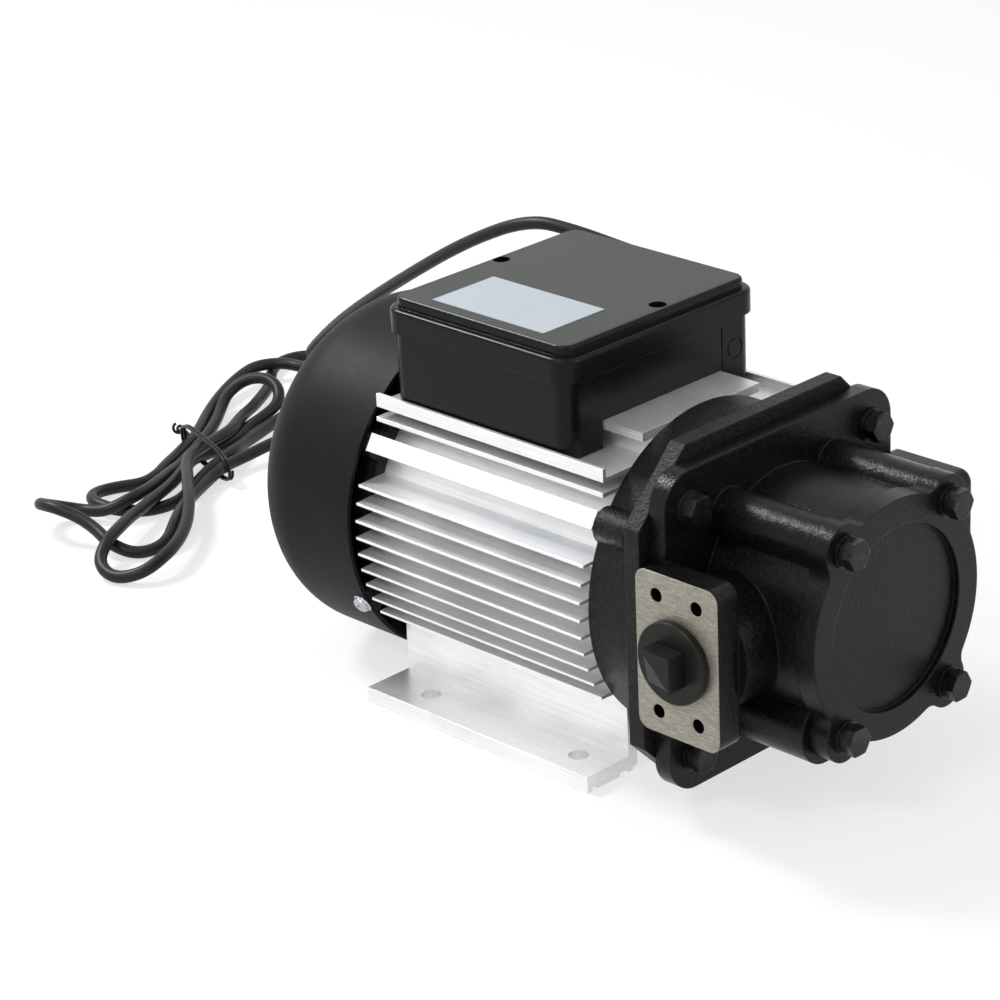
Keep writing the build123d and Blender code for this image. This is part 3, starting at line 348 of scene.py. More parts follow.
class Paint(Graph):
    """The nodes of one material, with a Principled shader at their end."""

    def __init__(self, name: str) -> None:
        """Start a material.

        Args:
            name: The material's name.
        """
        self.material = bpy.data.materials.new(name)
        self.material.use_nodes = True
        super().__init__(self.material.node_tree)

    def close(self, sockets: dict[str, object]) -> bpy.types.Material:
        """Add the shader and the output.

        Args:
            sockets: What goes to the shader, by socket name.

        Returns:
            The finished material.
        """
        shader = self.add("ShaderNodeBsdfPrincipled", {}, sockets)
        return self.finish(shader)

    def finish(self, shader: Value) -> bpy.types.Material:
        """Link a shader to the output and hand over the material."""
        self.add("ShaderNodeOutputMaterial", {}, {"Surface": shader}, None)
        return self.material


# Finishes


@dataclass(frozen=True)
class Finish:
    """A surface finish that makes one material."""

    name: str

    def make(self) -> bpy.types.Material:
        """Build the material."""
        raise NotImplementedError


@dataclass(frozen=True)
class PaintedCasting(Finish):
    """Thick dark paint over a sand casting, with bare machined faces where a height says."""

    dark: Colour = (0.0035, 0.0036, 0.0040)
    worn: Colour = (0.011, 0.0105, 0.010)
    milled_dull: Colour = (0.215, 0.20, 0.165)
    milled_light: Colour = (0.39, 0.365, 0.31)
    grain: float = 700.0
    depth: float = 0.00025
    gloss: float = 0.42
    edge: float = 0.0012
    bare_y: float = 0.0
    sheen: float = 0.16

    def make(self) -> bpy.types.Material:
        """Paint whose grain is noise at two scales; a pad beyond bare_y is milled metal.

        Returns:
            The material.
        """
        graph = Paint(self.name)
        coarse = graph.noise(self.grain * 0.35, 4.0, 0.6)
        fine = graph.noise(self.grain, 3.0, 0.65)
        pits = graph.cells(self.grain * 0.8)
        height = coarse * 0.6 + fine * 0.5 + pits * 0.3
        colour = graph.mix((coarse * 0.5 + fine * 0.5).ramp(0.42, 0.72), self.dark, self.worn)
        rough = fine * 0.25 + coarse * 0.15 + (self.gloss - 0.2)
        metal: Value | float = 0.0
        if self.bare_y:
            milled = abs(graph.axis("Y")) > self.bare_y
            swirl = graph.noise(220.0, 3.0, 0.6, (1, 1, 7))
            speck = graph.noise(1500.0, 3.0, 0.7)
            share = (swirl * 0.5 + speck * 0.5).ramp(0.36, 0.66)
            bright = graph.mix(share, self.milled_dull, self.milled_light)
            colour = graph.mix(milled, colour, bright)
            rough = rough + milled * (0.16 + swirl * 0.12)
            metal = milled * 0.45
            height = height * (1 - milled * 0.85)
        normal = graph.bump(height, self.depth, graph.edges(self.edge))
        return graph.close({"Base Color": colour, "Roughness": rough, "Metallic": metal, "Normal": normal,
                            "Specular IOR Level": self.sheen})


@dataclass(frozen=True)
class ExtrudedAlloy(Finish):
    """Mill-finish aluminium with die lines along X."""

    light: Colour = (0.90, 0.905, 0.91)
    dull: Colour = (0.78, 0.79, 0.80)
    edge: float = 0.0003

    def make(self) -> bpy.types.Material:
        """Metal whose colour, gloss and height follow lines that run with the extrusion.

        Returns:
            The material.
        """
        graph = Paint(self.name)
        lines = graph.noise(900.0, 2.0, 0.5, (0.02, 1, 1))
        stains = graph.noise(30.0, 4.0, 0.6)
        speck = graph.noise(1500.0, 2.0, 0.6)
        colour = graph.mix((lines * 0.5 + stains * 0.5).ramp(0.35, 0.65), self.dull, self.light)
        rough = lines * 0.14 + stains * 0.16 + 0.22
        normal = graph.bump(lines * 0.7 + speck * 0.3, 0.00004, graph.edges(self.edge))
        return graph.close({"Base Color": colour, "Roughness": rough, "Metallic": 0.72, "Normal": normal})


@dataclass(frozen=True)
class SatinPaint(Finish):
    """Smooth dark paint on pressed sheet, with a faint orange peel."""

    colour: Colour = (0.0065, 0.0067, 0.0072)
    faded: Colour = (0.0115, 0.0112, 0.011)
    rough: float = 0.5
    edge: float = 0.0006
    sheen: float = 0.10

    def make(self) -> bpy.types.Material:
        """Paint with slow changes of gloss and a low peel.

        Returns:
            The material.
        """
        graph = Paint(self.name)
        peel = graph.noise(420.0, 2.0, 0.5)
        cloud = graph.noise(22.0, 4.0, 0.6)
        colour = graph.mix(cloud.ramp(0.35, 0.7), self.colour, self.faded)
        normal = graph.bump(peel, 0.00005, graph.edges(self.edge))
        rough = cloud * 0.12 + peel * 0.08 + (self.rough - 0.1)
        return graph.close({"Base Color": colour, "Roughness": rough, "Normal": normal,
                            "Specular IOR Level": self.sheen})


@dataclass(frozen=True)
class Moulded(Finish):
    """Moulded plastic or rubber with a fine spark-eroded grain."""

    colour: Colour
    rough: float = 0.45
    grain: float = 2200.0
    depth: float = 0.00004
    edge: float = 0.0005
    # Height above which the face is coarser and rougher and is painted brighter as a painted reflection;
    # nought for none
    matt_top_with_painted_sheen: float = 0.0
    sheen: float = 0.2
    pale_gain: float = 1.6
    pale_lift: float = 0.002
    # How many times brighter the top face is painted, as a painted reflection
    painted_sheen_gain: float = 7.0
    top_rough: float = 0.26

    def make(self) -> bpy.types.Material:
        """Grain everywhere; above the top height it is coarser and rougher, and its colour is brightened as a
        painted reflection of the light that the top face catches.

        Returns:
            The material.
        """
        graph = Paint(self.name)
        grain = graph.noise(self.grain, 2.0, 0.6)
        cloud = graph.noise(25.0, 3.0, 0.5)
        pale = tuple(min(1.0, part * self.pale_gain + self.pale_lift) for part in self.colour)
        colour = graph.mix(grain.ramp(0.4, 0.7) * 0.5 + cloud * 0.3, self.colour, pale)
        rough = cloud * 0.1 + grain * 0.1 + (self.rough - 0.1)
        height = grain
        if self.matt_top_with_painted_sheen:
            top_matt_and_painted_sheen = graph.axis("Z") > self.matt_top_with_painted_sheen
            # Painted reflection: on the top face the colour is several times brighter, standing in for the
            # light that the face reflects
            colour = graph.mix(top_matt_and_painted_sheen, colour, tuple(part * self.painted_sheen_gain for part in pale))
            rough = rough + top_matt_and_painted_sheen * self.top_rough
            height = grain + top_matt_and_painted_sheen * graph.noise(self.grain * 0.6, 2.0, 0.6)
        normal = graph.bump(height, self.depth, graph.edges(self.edge))
        return graph.close({"Base Color": colour, "Roughness": rough, "Normal": normal,
                            "Specular IOR Level": self.sheen})


@dataclass(frozen=True)
class BareMetal(Finish):
    """Machined, plated or blackened metal with fine tool marks."""

    colour: Colour
    stained: Colour
    rough: float = 0.3
    marks: Point = (1, 1, 1)
    scale: float = 600.0
    metallic: float = 1.0
    edge: float = 0.0003
    depth: float = 0.00003

    def make(self) -> bpy.types.Material:
        """Metal whose tool marks are noise, drawn out along one axis.

        Returns:
            The material.
        """
        graph = Paint(self.name)
        marks = graph.noise(self.scale, 3.0, 0.6, self.marks)
        stains = graph.noise(self.scale * 0.08, 4.0, 0.6)
        colour = graph.mix((marks * 0.4 + stains * 0.6).ramp(0.38, 0.66), self.colour, self.stained)
        rough = marks * 0.12 + stains * 0.14 + (self.rough - 0.12)
        normal = graph.bump(marks, self.depth, graph.edges(self.edge))
        return graph.close({"Base Color": colour, "Roughness": rough, "Metallic": self.metallic,
                            "Normal": normal})


@dataclass(frozen=True)
class Laminated(Finish):
    """Stack of thin steel sheets along X."""

    pitch: float = 0.001

    def make(self) -> bpy.types.Material:
        """Height and colour are a sine of X, one wave to the sheet.

        Returns:
            The material.
        """
        graph = Paint(self.name)
        wave = (graph.axis("X") * (2 * math.pi / self.pitch)).math("SINE") * 0.5 + 0.5
        scale = graph.noise(90.0, 3.0, 0.5)
        colour = graph.mix(wave * 0.6 + scale * 0.3, (0.10, 0.10, 0.11), (0.34, 0.34, 0.36))
        return graph.close({"Base Color": colour, "Roughness": scale * 0.2 + 0.35, "Metallic": 0.85,
                            "Normal": graph.bump(wave, 0.00004)})


@dataclass(frozen=True)
class WoundWire(Finish):
    """Varnished copper wire in bundles round the shaft."""

    def make(self) -> bpy.types.Material:
        """Waves round the bundle from a wave texture in rings about X.

        Returns:
            The material.
        """
        graph = Paint(self.name)
        settings = {"wave_type": "RINGS", "rings_direction": "X"}
        sockets = {"Vector": graph.place(), "Scale": 90.0, "Distortion": 2.5, "Detail": 2.0}
        wave = graph.add("ShaderNodeTexWave", settings, sockets, 1)
        cloud = graph.noise(120.0, 3.0, 0.6)
        colour = graph.mix(wave * 0.6 + cloud * 0.4, (0.20, 0.06, 0.02), (0.62, 0.26, 0.11))
        return graph.close({"Base Color": colour, "Roughness": cloud * 0.2 + 0.25, "Metallic": 0.7,
                            "Normal": graph.bump(wave, 0.0004)})


@dataclass(frozen=True)
class BlankFilm(Finish):
    """Bare silvered film with a faint border, where a rating plate would carry its words."""

    centre: tuple[float, float]
    half: tuple[float, float]
    border: tuple[float, float] = (0.965, 0.985)

    def make(self) -> bpy.types.Material:
        """A border line is where the larger of two edge distances passes a limit.

        Returns:
            The material.
        """
        graph = Paint(self.name)
        across = abs(graph.axis("X") - self.centre[0] * MM) / (self.half[0] * MM)
        along = abs(graph.axis("Y") - self.centre[1] * MM) / (self.half[1] * MM)
        brushed = graph.noise(2600.0, 2.0, 0.5, (0.03, 1, 1))
        cloud = graph.noise(40.0, 3.0, 0.5)
        rim = across.math("MAXIMUM", along).ramp(*self.border)
        plain = graph.mix(brushed * 0.4 + cloud * 0.4, (0.36, 0.40, 0.44), (0.48, 0.52, 0.56))
        colour = graph.mix(rim * 0.35, plain, (0.30, 0.33, 0.37))
        return graph.close({"Base Color": colour, "Roughness": brushed * 0.15 + cloud * 0.15 + 0.35,
                            "Metallic": 0.25, "Normal": graph.bump(brushed, 0.00001)})


@dataclass(frozen=True)
class Sheath(Finish):
    """Satin extruded cable sheath."""

    colour: Colour = (0.006, 0.0075, 0.007)
    bright: Colour = (0.012, 0.014, 0.013)
    rough: float = 0.40

    def make(self) -> bpy.types.Material:
        """Slow cloud of gloss under a very fine grain.

        Returns:
            The material.
        """
        graph = Paint(self.name)
        cloud = graph.noise(60.0, 4.0, 0.6)
        fine = graph.noise(1600.0, 2.0, 0.6)
        colour = graph.mix(cloud * 0.7 + fine * 0.3, self.colour, self.bright)
        return graph.close({"Base Color": colour, "Roughness": cloud * 0.14 + fine * 0.1 + (self.rough - 0.1),
                            "Normal": graph.bump(fine, 0.00002), "Specular IOR Level": 0.22})


FINISHES: dict[str, Finish] = {
    "housing_aluminium": ExtrudedAlloy("housing_aluminium_finish"),
    "laminations": Laminated("laminations_finish"),
    "copper": WoundWire("copper_finish"),
    "ground_steel": BareMetal("ground_steel_finish", (0.52, 0.52, 0.53), (0.40, 0.40, 0.41), 0.24,
                              (0.05, 1, 1)),
    "black_casting": PaintedCasting("black_casting_finish", worn=(0.017, 0.014, 0.012), grain=850.0,
                                    depth=0.0005, gloss=0.42, sheen=0.17),
    "pump_casting": PaintedCasting("pump_casting_finish", grain=1250.0, depth=0.00028, gloss=0.19,
                                   bare_y=0.0892, sheen=0.16),
    "black_sheet": SatinPaint("black_sheet_finish"),
    "fan_plastic": Moulded("fan_plastic_finish", (0.02, 0.02, 0.021)),
    "dark_fasteners": BareMetal("dark_fasteners_finish", (0.016, 0.016, 0.018), (0.045, 0.044, 0.044), 0.30,
                                metallic=0.85, depth=0.00004),
    "zinc_steel": BareMetal("zinc_steel_finish", (0.60, 0.61, 0.63), (0.44, 0.46, 0.49), 0.26),
    "seal_rubber": Moulded("seal_rubber_finish", (0.006, 0.006, 0.006), 0.6),
    "bush_bronze": BareMetal("bush_bronze_finish", (0.55, 0.36, 0.16), (0.36, 0.21, 0.09), 0.34,
                             (0.05, 1, 1)),
    "plug_plastic": Moulded("plug_plastic_finish", (0.0085, 0.0082, 0.0075), 0.32, sheen=0.16),
    # The box's top above the given height carries a painted reflection in its colour
    "box_plastic": Moulded("box_plastic_finish", (0.0035, 0.0039, 0.0037), 0.22, matt_top_with_painted_sheen=0.2090, sheen=0.14),
    "bare_plate": BlankFilm("bare_plate_finish", (-13.5, -35.0), (36.5, 20.5)),
    "terminal_plastic": Moulded("terminal_plastic_finish", (0.55, 0.53, 0.46)),
    "capacitor_plastic": Moulded("capacitor_plastic_finish", (0.62, 0.62, 0.60)),
    "cable_sheath": Sheath("cable_sheath_finish"),
    "tie_wire": Moulded("tie_wire_finish", (0.004, 0.004, 0.004), 0.34),
    "plug_rubber": Moulded("plug_rubber_finish", (0.006, 0.006, 0.006), 0.45),
    "pin_nickel": BareMetal("pin_nickel_finish", (0.66, 0.63, 0.56), (0.52, 0.49, 0.44), 0.2),
}


class Wardrobe:
    """Makes each finish once and hands it to the pieces."""

    def __init__(self) -> None:
        """Start with nothing made."""
        self.made: dict[str, bpy.types.Material] = {}

    def finish(self, slot: str) -> bpy.types.Material:
        """The material of a slot, built on first use.

        Args:
            slot: The slot's name in the record.

        Returns:
            The slot's material.
        """
        if slot not in self.made:
            self.made[slot] = FINISHES[slot].make()
        return self.made[slot]

    def dress_frame(self, frame: dict[str, object]) -> None:
        """Give every carried-over node the finish of its slot.
        """
        slots = {row["node"]: row["material_slot"] for row in frame["record"]["subparts"]}
        for name, piece in frame["nodes"].items():
            material = self.finish(slots[name])
            if not piece.material_slots:
                piece.data.materials.append(material)
            for holder in piece.material_slots:
                holder.material = material
            log.info("dressed %s with %s", name, slots[name])


# Surfaces


def unit(vectors: np.ndarray) -> np.ndarray:
    """Each row scaled to length one."""
    return vectors / np.maximum(np.linalg.norm(vectors, axis=-1, keepdims=True), 1e-12)


def grid_faces(rows: int, columns: int, closed_rows: bool, closed_columns: bool) -> np.ndarray:
    """Quads of a grid of points numbered row by row.

    Args:
        rows: Points along the first parameter.
        columns: Points along the second.
        closed_rows: Whether the last row joins the first.
        closed_columns: Whether the last column joins the first.

    Returns:
        Four point numbers to a face.
    """
    first = np.arange(rows if closed_rows else rows - 1)[:, None]
    second = np.arange(columns if closed_columns else columns - 1)[None, :]
    next_first, next_second = (first + 1) % rows, (second + 1) % columns
    corners = (first * columns + second, first * columns + next_second,
               next_first * columns + next_second, next_first * columns + second)
    return np.stack([corner.ravel() for corner in np.broadcast_arrays(*corners)], axis=1)


def surface(name: str, points: np.ndarray, faces: list[np.ndarray], smooth: bool = True) -> bpy.types.Object:
    """A mesh object at the origin from points in millimetres.

    Args:
        name: The piece's name.
        points: One row to a point.
        faces: Arrays of point numbers, each array with its own number of corners.
        smooth: Whether the faces are smooth shaded.

    Returns:
        The linked object.
    """
    mesh = bpy.data.meshes.new(name)
    mesh.from_pydata((points * MM).tolist(), [], [face for block in faces for face in block.tolist()])
    mesh.update()
    mesh.polygons.foreach_set("use_smooth", np.full(len(mesh.polygons), smooth))
    piece = bpy.data.objects.new(name, mesh)
    bpy.context.scene.collection.objects.link(piece)
    return piece


def tube_grid(path: np.ndarray, radius: np.ndarray, sides: int, guide: np.ndarray) -> np.ndarray:
    """Points of a tube: path + radius * (cos t * n + sin t * b), with n and b square to the path.

    Args:
        path: Centre line, one row to a point.
        radius: The tube's radius at each point.
        sides: Points round the tube.
        guide: A direction that is nowhere along the path; n is square to it.

    Returns:
        Rows of points, one ring after another.
    """
    tangent = unit(np.gradient(path, axis=0))
    normal = unit(np.cross(tangent, guide))
    binormal = np.cross(tangent, normal)
    turn = np.linspace(0, 2 * np.pi, sides, endpoint=False)
    ring = np.cos(turn)[None, :, None] * normal[:, None] + np.sin(turn)[None, :, None] * binormal[:, None]
    return (path[:, None] + radius[:, None, None] * ring).reshape(-1, 3)


def tube(name: str, path: np.ndarray, radius: np.ndarray, sides: int, guide: np.ndarray) -> bpy.types.Object:
    """A closed-ended tube along a path; see tube_grid for its formula.

    Args:
        name: The piece's name.
        path: Centre line in millimetres.
        radius: Radius at each point.
        sides: Points round the tube.
        guide: A direction that is nowhere along the path.

    Returns:
        The object.
    """
    points = tube_grid(path, radius, sides, guide)
    faces = grid_faces(len(path), sides, False, True)
    start = np.arange(sides)[None, ::-1]
    end = (len(path) - 1) * sides + np.arange(sides)[None, :]
    return surface(name, points, [faces[:, ::-1], start[:, ::-1], end[:, ::-1]])


# Small pieces on the pump


def lathe_grid(profile: np.ndarray, sides: int) -> np.ndarray:
    """Points of a profile turned about Z: (r cos t, r sin t, h).

    Args:
        profile: Rows of radius and height.
        sides: Points round the axis.

    Returns:
        Rows of points, one ring after another.
    """
    turn = np.linspace(0, 2 * np.pi, sides, endpoint=False)
    radius, height = profile[:, 0, None], profile[:, 1, None]
    return np.stack([radius * np.cos(turn), radius * np.sin(turn), height + 0 * turn], axis=-1).reshape(-1, 3)


@dataclass
class CoverScrews:
    """Pan-head screws with washers and crossed recesses round the fan cover's rim."""

    wardrobe: Wardrobe
    angles: tuple[float, ...] = (-28.6, 90.0, 208.6)
    spin: float = 38.0
    place_x: float = -88.5
    axis_height: float = 90.0
    cover_radius: float = 87.2
    tip: float = 0.01
    edge: float = 0.1
    shank_radius: float = 2.5
    shank_length: float = 5.0
    washer_radius: float = 5.2
    washer_thickness: float = 0.6
    head_radius: float = 4.4
    head_height: float = 3.0
    head_skirt: float = 0.5
    recess_reach: float = 2.9
    recess_half: float = 0.62
    recess_slope: float = 0.25
    recess_end: float = 0.4
    recess_depth: float = 1.9
    recess_rise: float = 0.45
    recess_above: float = 1.4
    rows: int = 64
    sides: int = 96

    def build(self) -> None:
        """Make the three screws as one piece."""
        local = self.head()
        count = len(local)
        quads = grid_faces(self.rows, self.sides, False, True)
        faces = [quads + count * number for number in range(len(self.angles))]
        points = [self.placed(local, angle) for angle in self.angles]
        piece = surface("cover_screw_heads", np.concatenate(points), faces)
        piece.data.materials.append(self.wardrobe.finish("zinc_steel"))
        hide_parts("fan_cover_screws")
        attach(piece, Body.PUMP.value)
        log.info("cover_screw_heads: %d screws", len(self.angles))

    def head(self) -> np.ndarray:
        """One screw along Z, its washer's underside at nought.

        The head is a quarter ellipse of revolution over the washer; the recess lowers every point that lies
        within recess_half of one of two crossed lines, and its floor rises towards the ends.

        Returns:
            Grid points, from the shank's end outwards and over the head to its middle.
        """
        shank, washer, cap = self.shank_radius, self.washer_radius, self.washer_thickness
        below = np.array([[self.tip, -self.shank_length], [shank - self.edge, -self.shank_length],
                          [shank, self.edge - self.shank_length], [shank, 0.0], [shank + self.edge, 0.0],
                          [washer, 0.0], [washer, cap - self.edge], [washer - 0.15, cap],
                          [self.head_radius + 0.02, cap]])
        bend = np.linspace(0, np.pi / 2, self.rows - len(below))
        rise = (self.head_height - self.head_skirt) * np.sin(bend) ** 0.9
        dome = np.column_stack([self.head_radius * np.cos(bend) ** 0.8 + self.tip,
                                cap + self.head_skirt + rise])
        points = lathe_grid(np.vstack([below, dome]), self.sides)
        across, along = np.abs(points[:, 0]), np.abs(points[:, 1])
        slot, reach = np.minimum(across, along), np.maximum(across, along)
        wall = np.clip((self.recess_half + self.recess_slope - slot) / self.recess_slope, 0, 1)
        end = np.clip((self.recess_reach - reach) / self.recess_end, 0, 1)
        depth = self.recess_depth * (1 - self.recess_rise * reach / self.recess_reach)
        points[:, 2] -= wall * end * depth * (points[:, 2] > self.recess_above)
        return points

    def placed(self, local: np.ndarray, angle: float) -> np.ndarray:
        """The screw turned to stand on the cover at an angle above the horizontal.

        Args:
            local: Its points along Z.
            angle: Where it stands.

        Returns:
            Points in the part's frame.
        """
        turn = math.radians(angle)
        out = np.array([0.0, math.cos(turn), math.sin(turn)])
        side = np.array([0.0, -math.sin(turn), math.cos(turn)])
        start = np.array([self.place_x, 0.0, self.axis_height]) + out * self.cover_radius
        spin = math.radians(self.spin)
        first = np.array([1.0, 0.0, 0.0]) * math.cos(spin) + side * math.sin(spin)
        second = np.cross(out, first)
        return start + local[:, :1] * first + local[:, 1:2] * second + local[:, 2:] * out


@dataclass
class PortPlug:
    """Turned plug with a square head whose lower half slopes away from a diagonal step."""

    wardrobe: Wardrobe
    centre: tuple[float, float] = (132.9, 90.0)
    seat: float = 91.0
    shank_end: float = 77.5
    shank_radius: float = 15.02
    disc_radius: float = 19.8
    disc_thickness: float = 3.6
    half: float = 8.5
    height: float = 10.0
    step: float = 1.2
    slope: float = 3.6
    sunk: float = 0.3
    tip: float = 0.01
    shank_edge: float = 1.0
    disc_edge: float = 0.6
    bevel_width: float = 0.35
    bevel_segments: int = 3
    bevel_angle: float = 28.0
    sides: int = 96
    head_faces: tuple[list[list[int]], ...] = (
        [[0, 1, 4, 3], [1, 2, 5, 4], [0, 3, 6, 8], [2, 9, 7, 5]], [[3, 4, 5]], [[6, 10, 7]],
        [[3, 5, 7, 6]], [[8, 6, 10, 11], [11, 10, 7, 9]])

    def build(self) -> None:
        """Make disc, shank and head."""
        disc = self.turned()
        head = self.head()
        disc_faces = grid_faces(len(disc) // self.sides, self.sides, False, True)
        blocks = [np.array(block) + len(disc) for block in self.head_faces]
        points = np.concatenate([disc, head])
        piece = surface("blanking_plug", points, [disc_faces, *blocks], smooth=False)
        edge = piece.modifiers.new("edge", "BEVEL")
        edge.width = self.bevel_width * MM
        edge.segments = self.bevel_segments
        edge.limit_method = "ANGLE"
        edge.angle_limit = math.radians(self.bevel_angle)
        piece.data.materials.append(self.wardrobe.finish("plug_plastic"))
        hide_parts("port_plug")
        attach(piece, Body.PORT_PLUG.value)
        log.info("blanking_plug: disc of radius %.1f", self.disc_radius)

    def turned(self) -> np.ndarray:
        """Shank and disc turned about Y, from the shank's end to the middle of the disc's face.

        Returns:
            Grid points in the part's frame.
        """
        face = self.seat + self.disc_thickness
        shank, disc = self.shank_radius, self.disc_radius
        profile = np.array([[self.tip, self.shank_end], [shank - self.shank_edge, self.shank_end],
                            [shank, self.shank_end + self.shank_edge], [shank, self.seat], [disc, self.seat],
                            [disc, face - self.disc_edge], [disc - self.disc_edge, face], [self.half, face],
                            [self.tip, face]])
        points = lathe_grid(profile, self.sides)
        return np.column_stack([self.centre[0] + points[:, 0], -points[:, 2], self.centre[1] + points[:, 1]])

    def head(self) -> np.ndarray:
        """Corners of the square head: foot, raised half and sloping half.

        Returns:
            One row to a corner.
        """
        face = self.seat + self.disc_thickness
        foot, top_matt_and_painted_sheen = face - self.sunk, face + self.height
        low = top_matt_and_painted_sheen - self.step
        left, right = -self.half, self.half
        places = np.array([
            (left, foot, right), (right, foot, right), (right, foot, left), (left, top_matt_and_painted_sheen, right),
            (right, top_matt_and_painted_sheen, right), (right, top_matt_and_painted_sheen, left), (left, low, right), (right, low, left),
            (left, foot, right), (right, foot, left), (left, low - self.slope, left), (left, foot, left)])
        return np.column_stack([self.centre[0] + places[:, 0], -places[:, 1], self.centre[1] + places[:, 2]])


@dataclass
class ValveSpring:
    """Coil spring under the bypass poppet. The real spring shortens as the poppet lifts; this one is made at
    one fixed length.
    """

    wardrobe: Wardrobe
    centre: tuple[float, float] = (133.0, 24.0)
    bottom: float = 24.0
    top_matt_and_painted_sheen: float = 58.0
    radius: float = 5.2
    wire: float = 0.8
    turns: float = 6.0
    slow_ends: float = 0.5
    lift: float = 4.0
    samples: int = 400
    sides: int = 12

    def build(self) -> None:
        """Make the spring: a helix (r cos t, r sin t, z) whose z climbs slower in its first and last turn."""
        share = np.linspace(0, 1, self.samples)
        climb = share - np.sin(2 * np.pi * share) / (2 * np.pi) * self.slow_ends
        turn = 2 * np.pi * self.turns * share
        path = np.column_stack([self.centre[0] + self.radius * np.cos(turn),
                                self.centre[1] + self.radius * np.sin(turn),
                                self.bottom + self.wire + (self.top_matt_and_painted_sheen - self.bottom - 2 * self.wire) * climb])
        up = np.array([0.0, 0.0, 1.0])
        piece = tube("valve_spring", path, np.full(len(path), self.wire), self.sides, up)
        piece.data.materials.append(self.wardrobe.finish("ground_steel"))
        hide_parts("bypass_spring")
        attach(piece, Body.PUMP.value)
        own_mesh(piece)
        log.info("valve_spring: %.0f turns", self.turns)


# The cable and what is on it


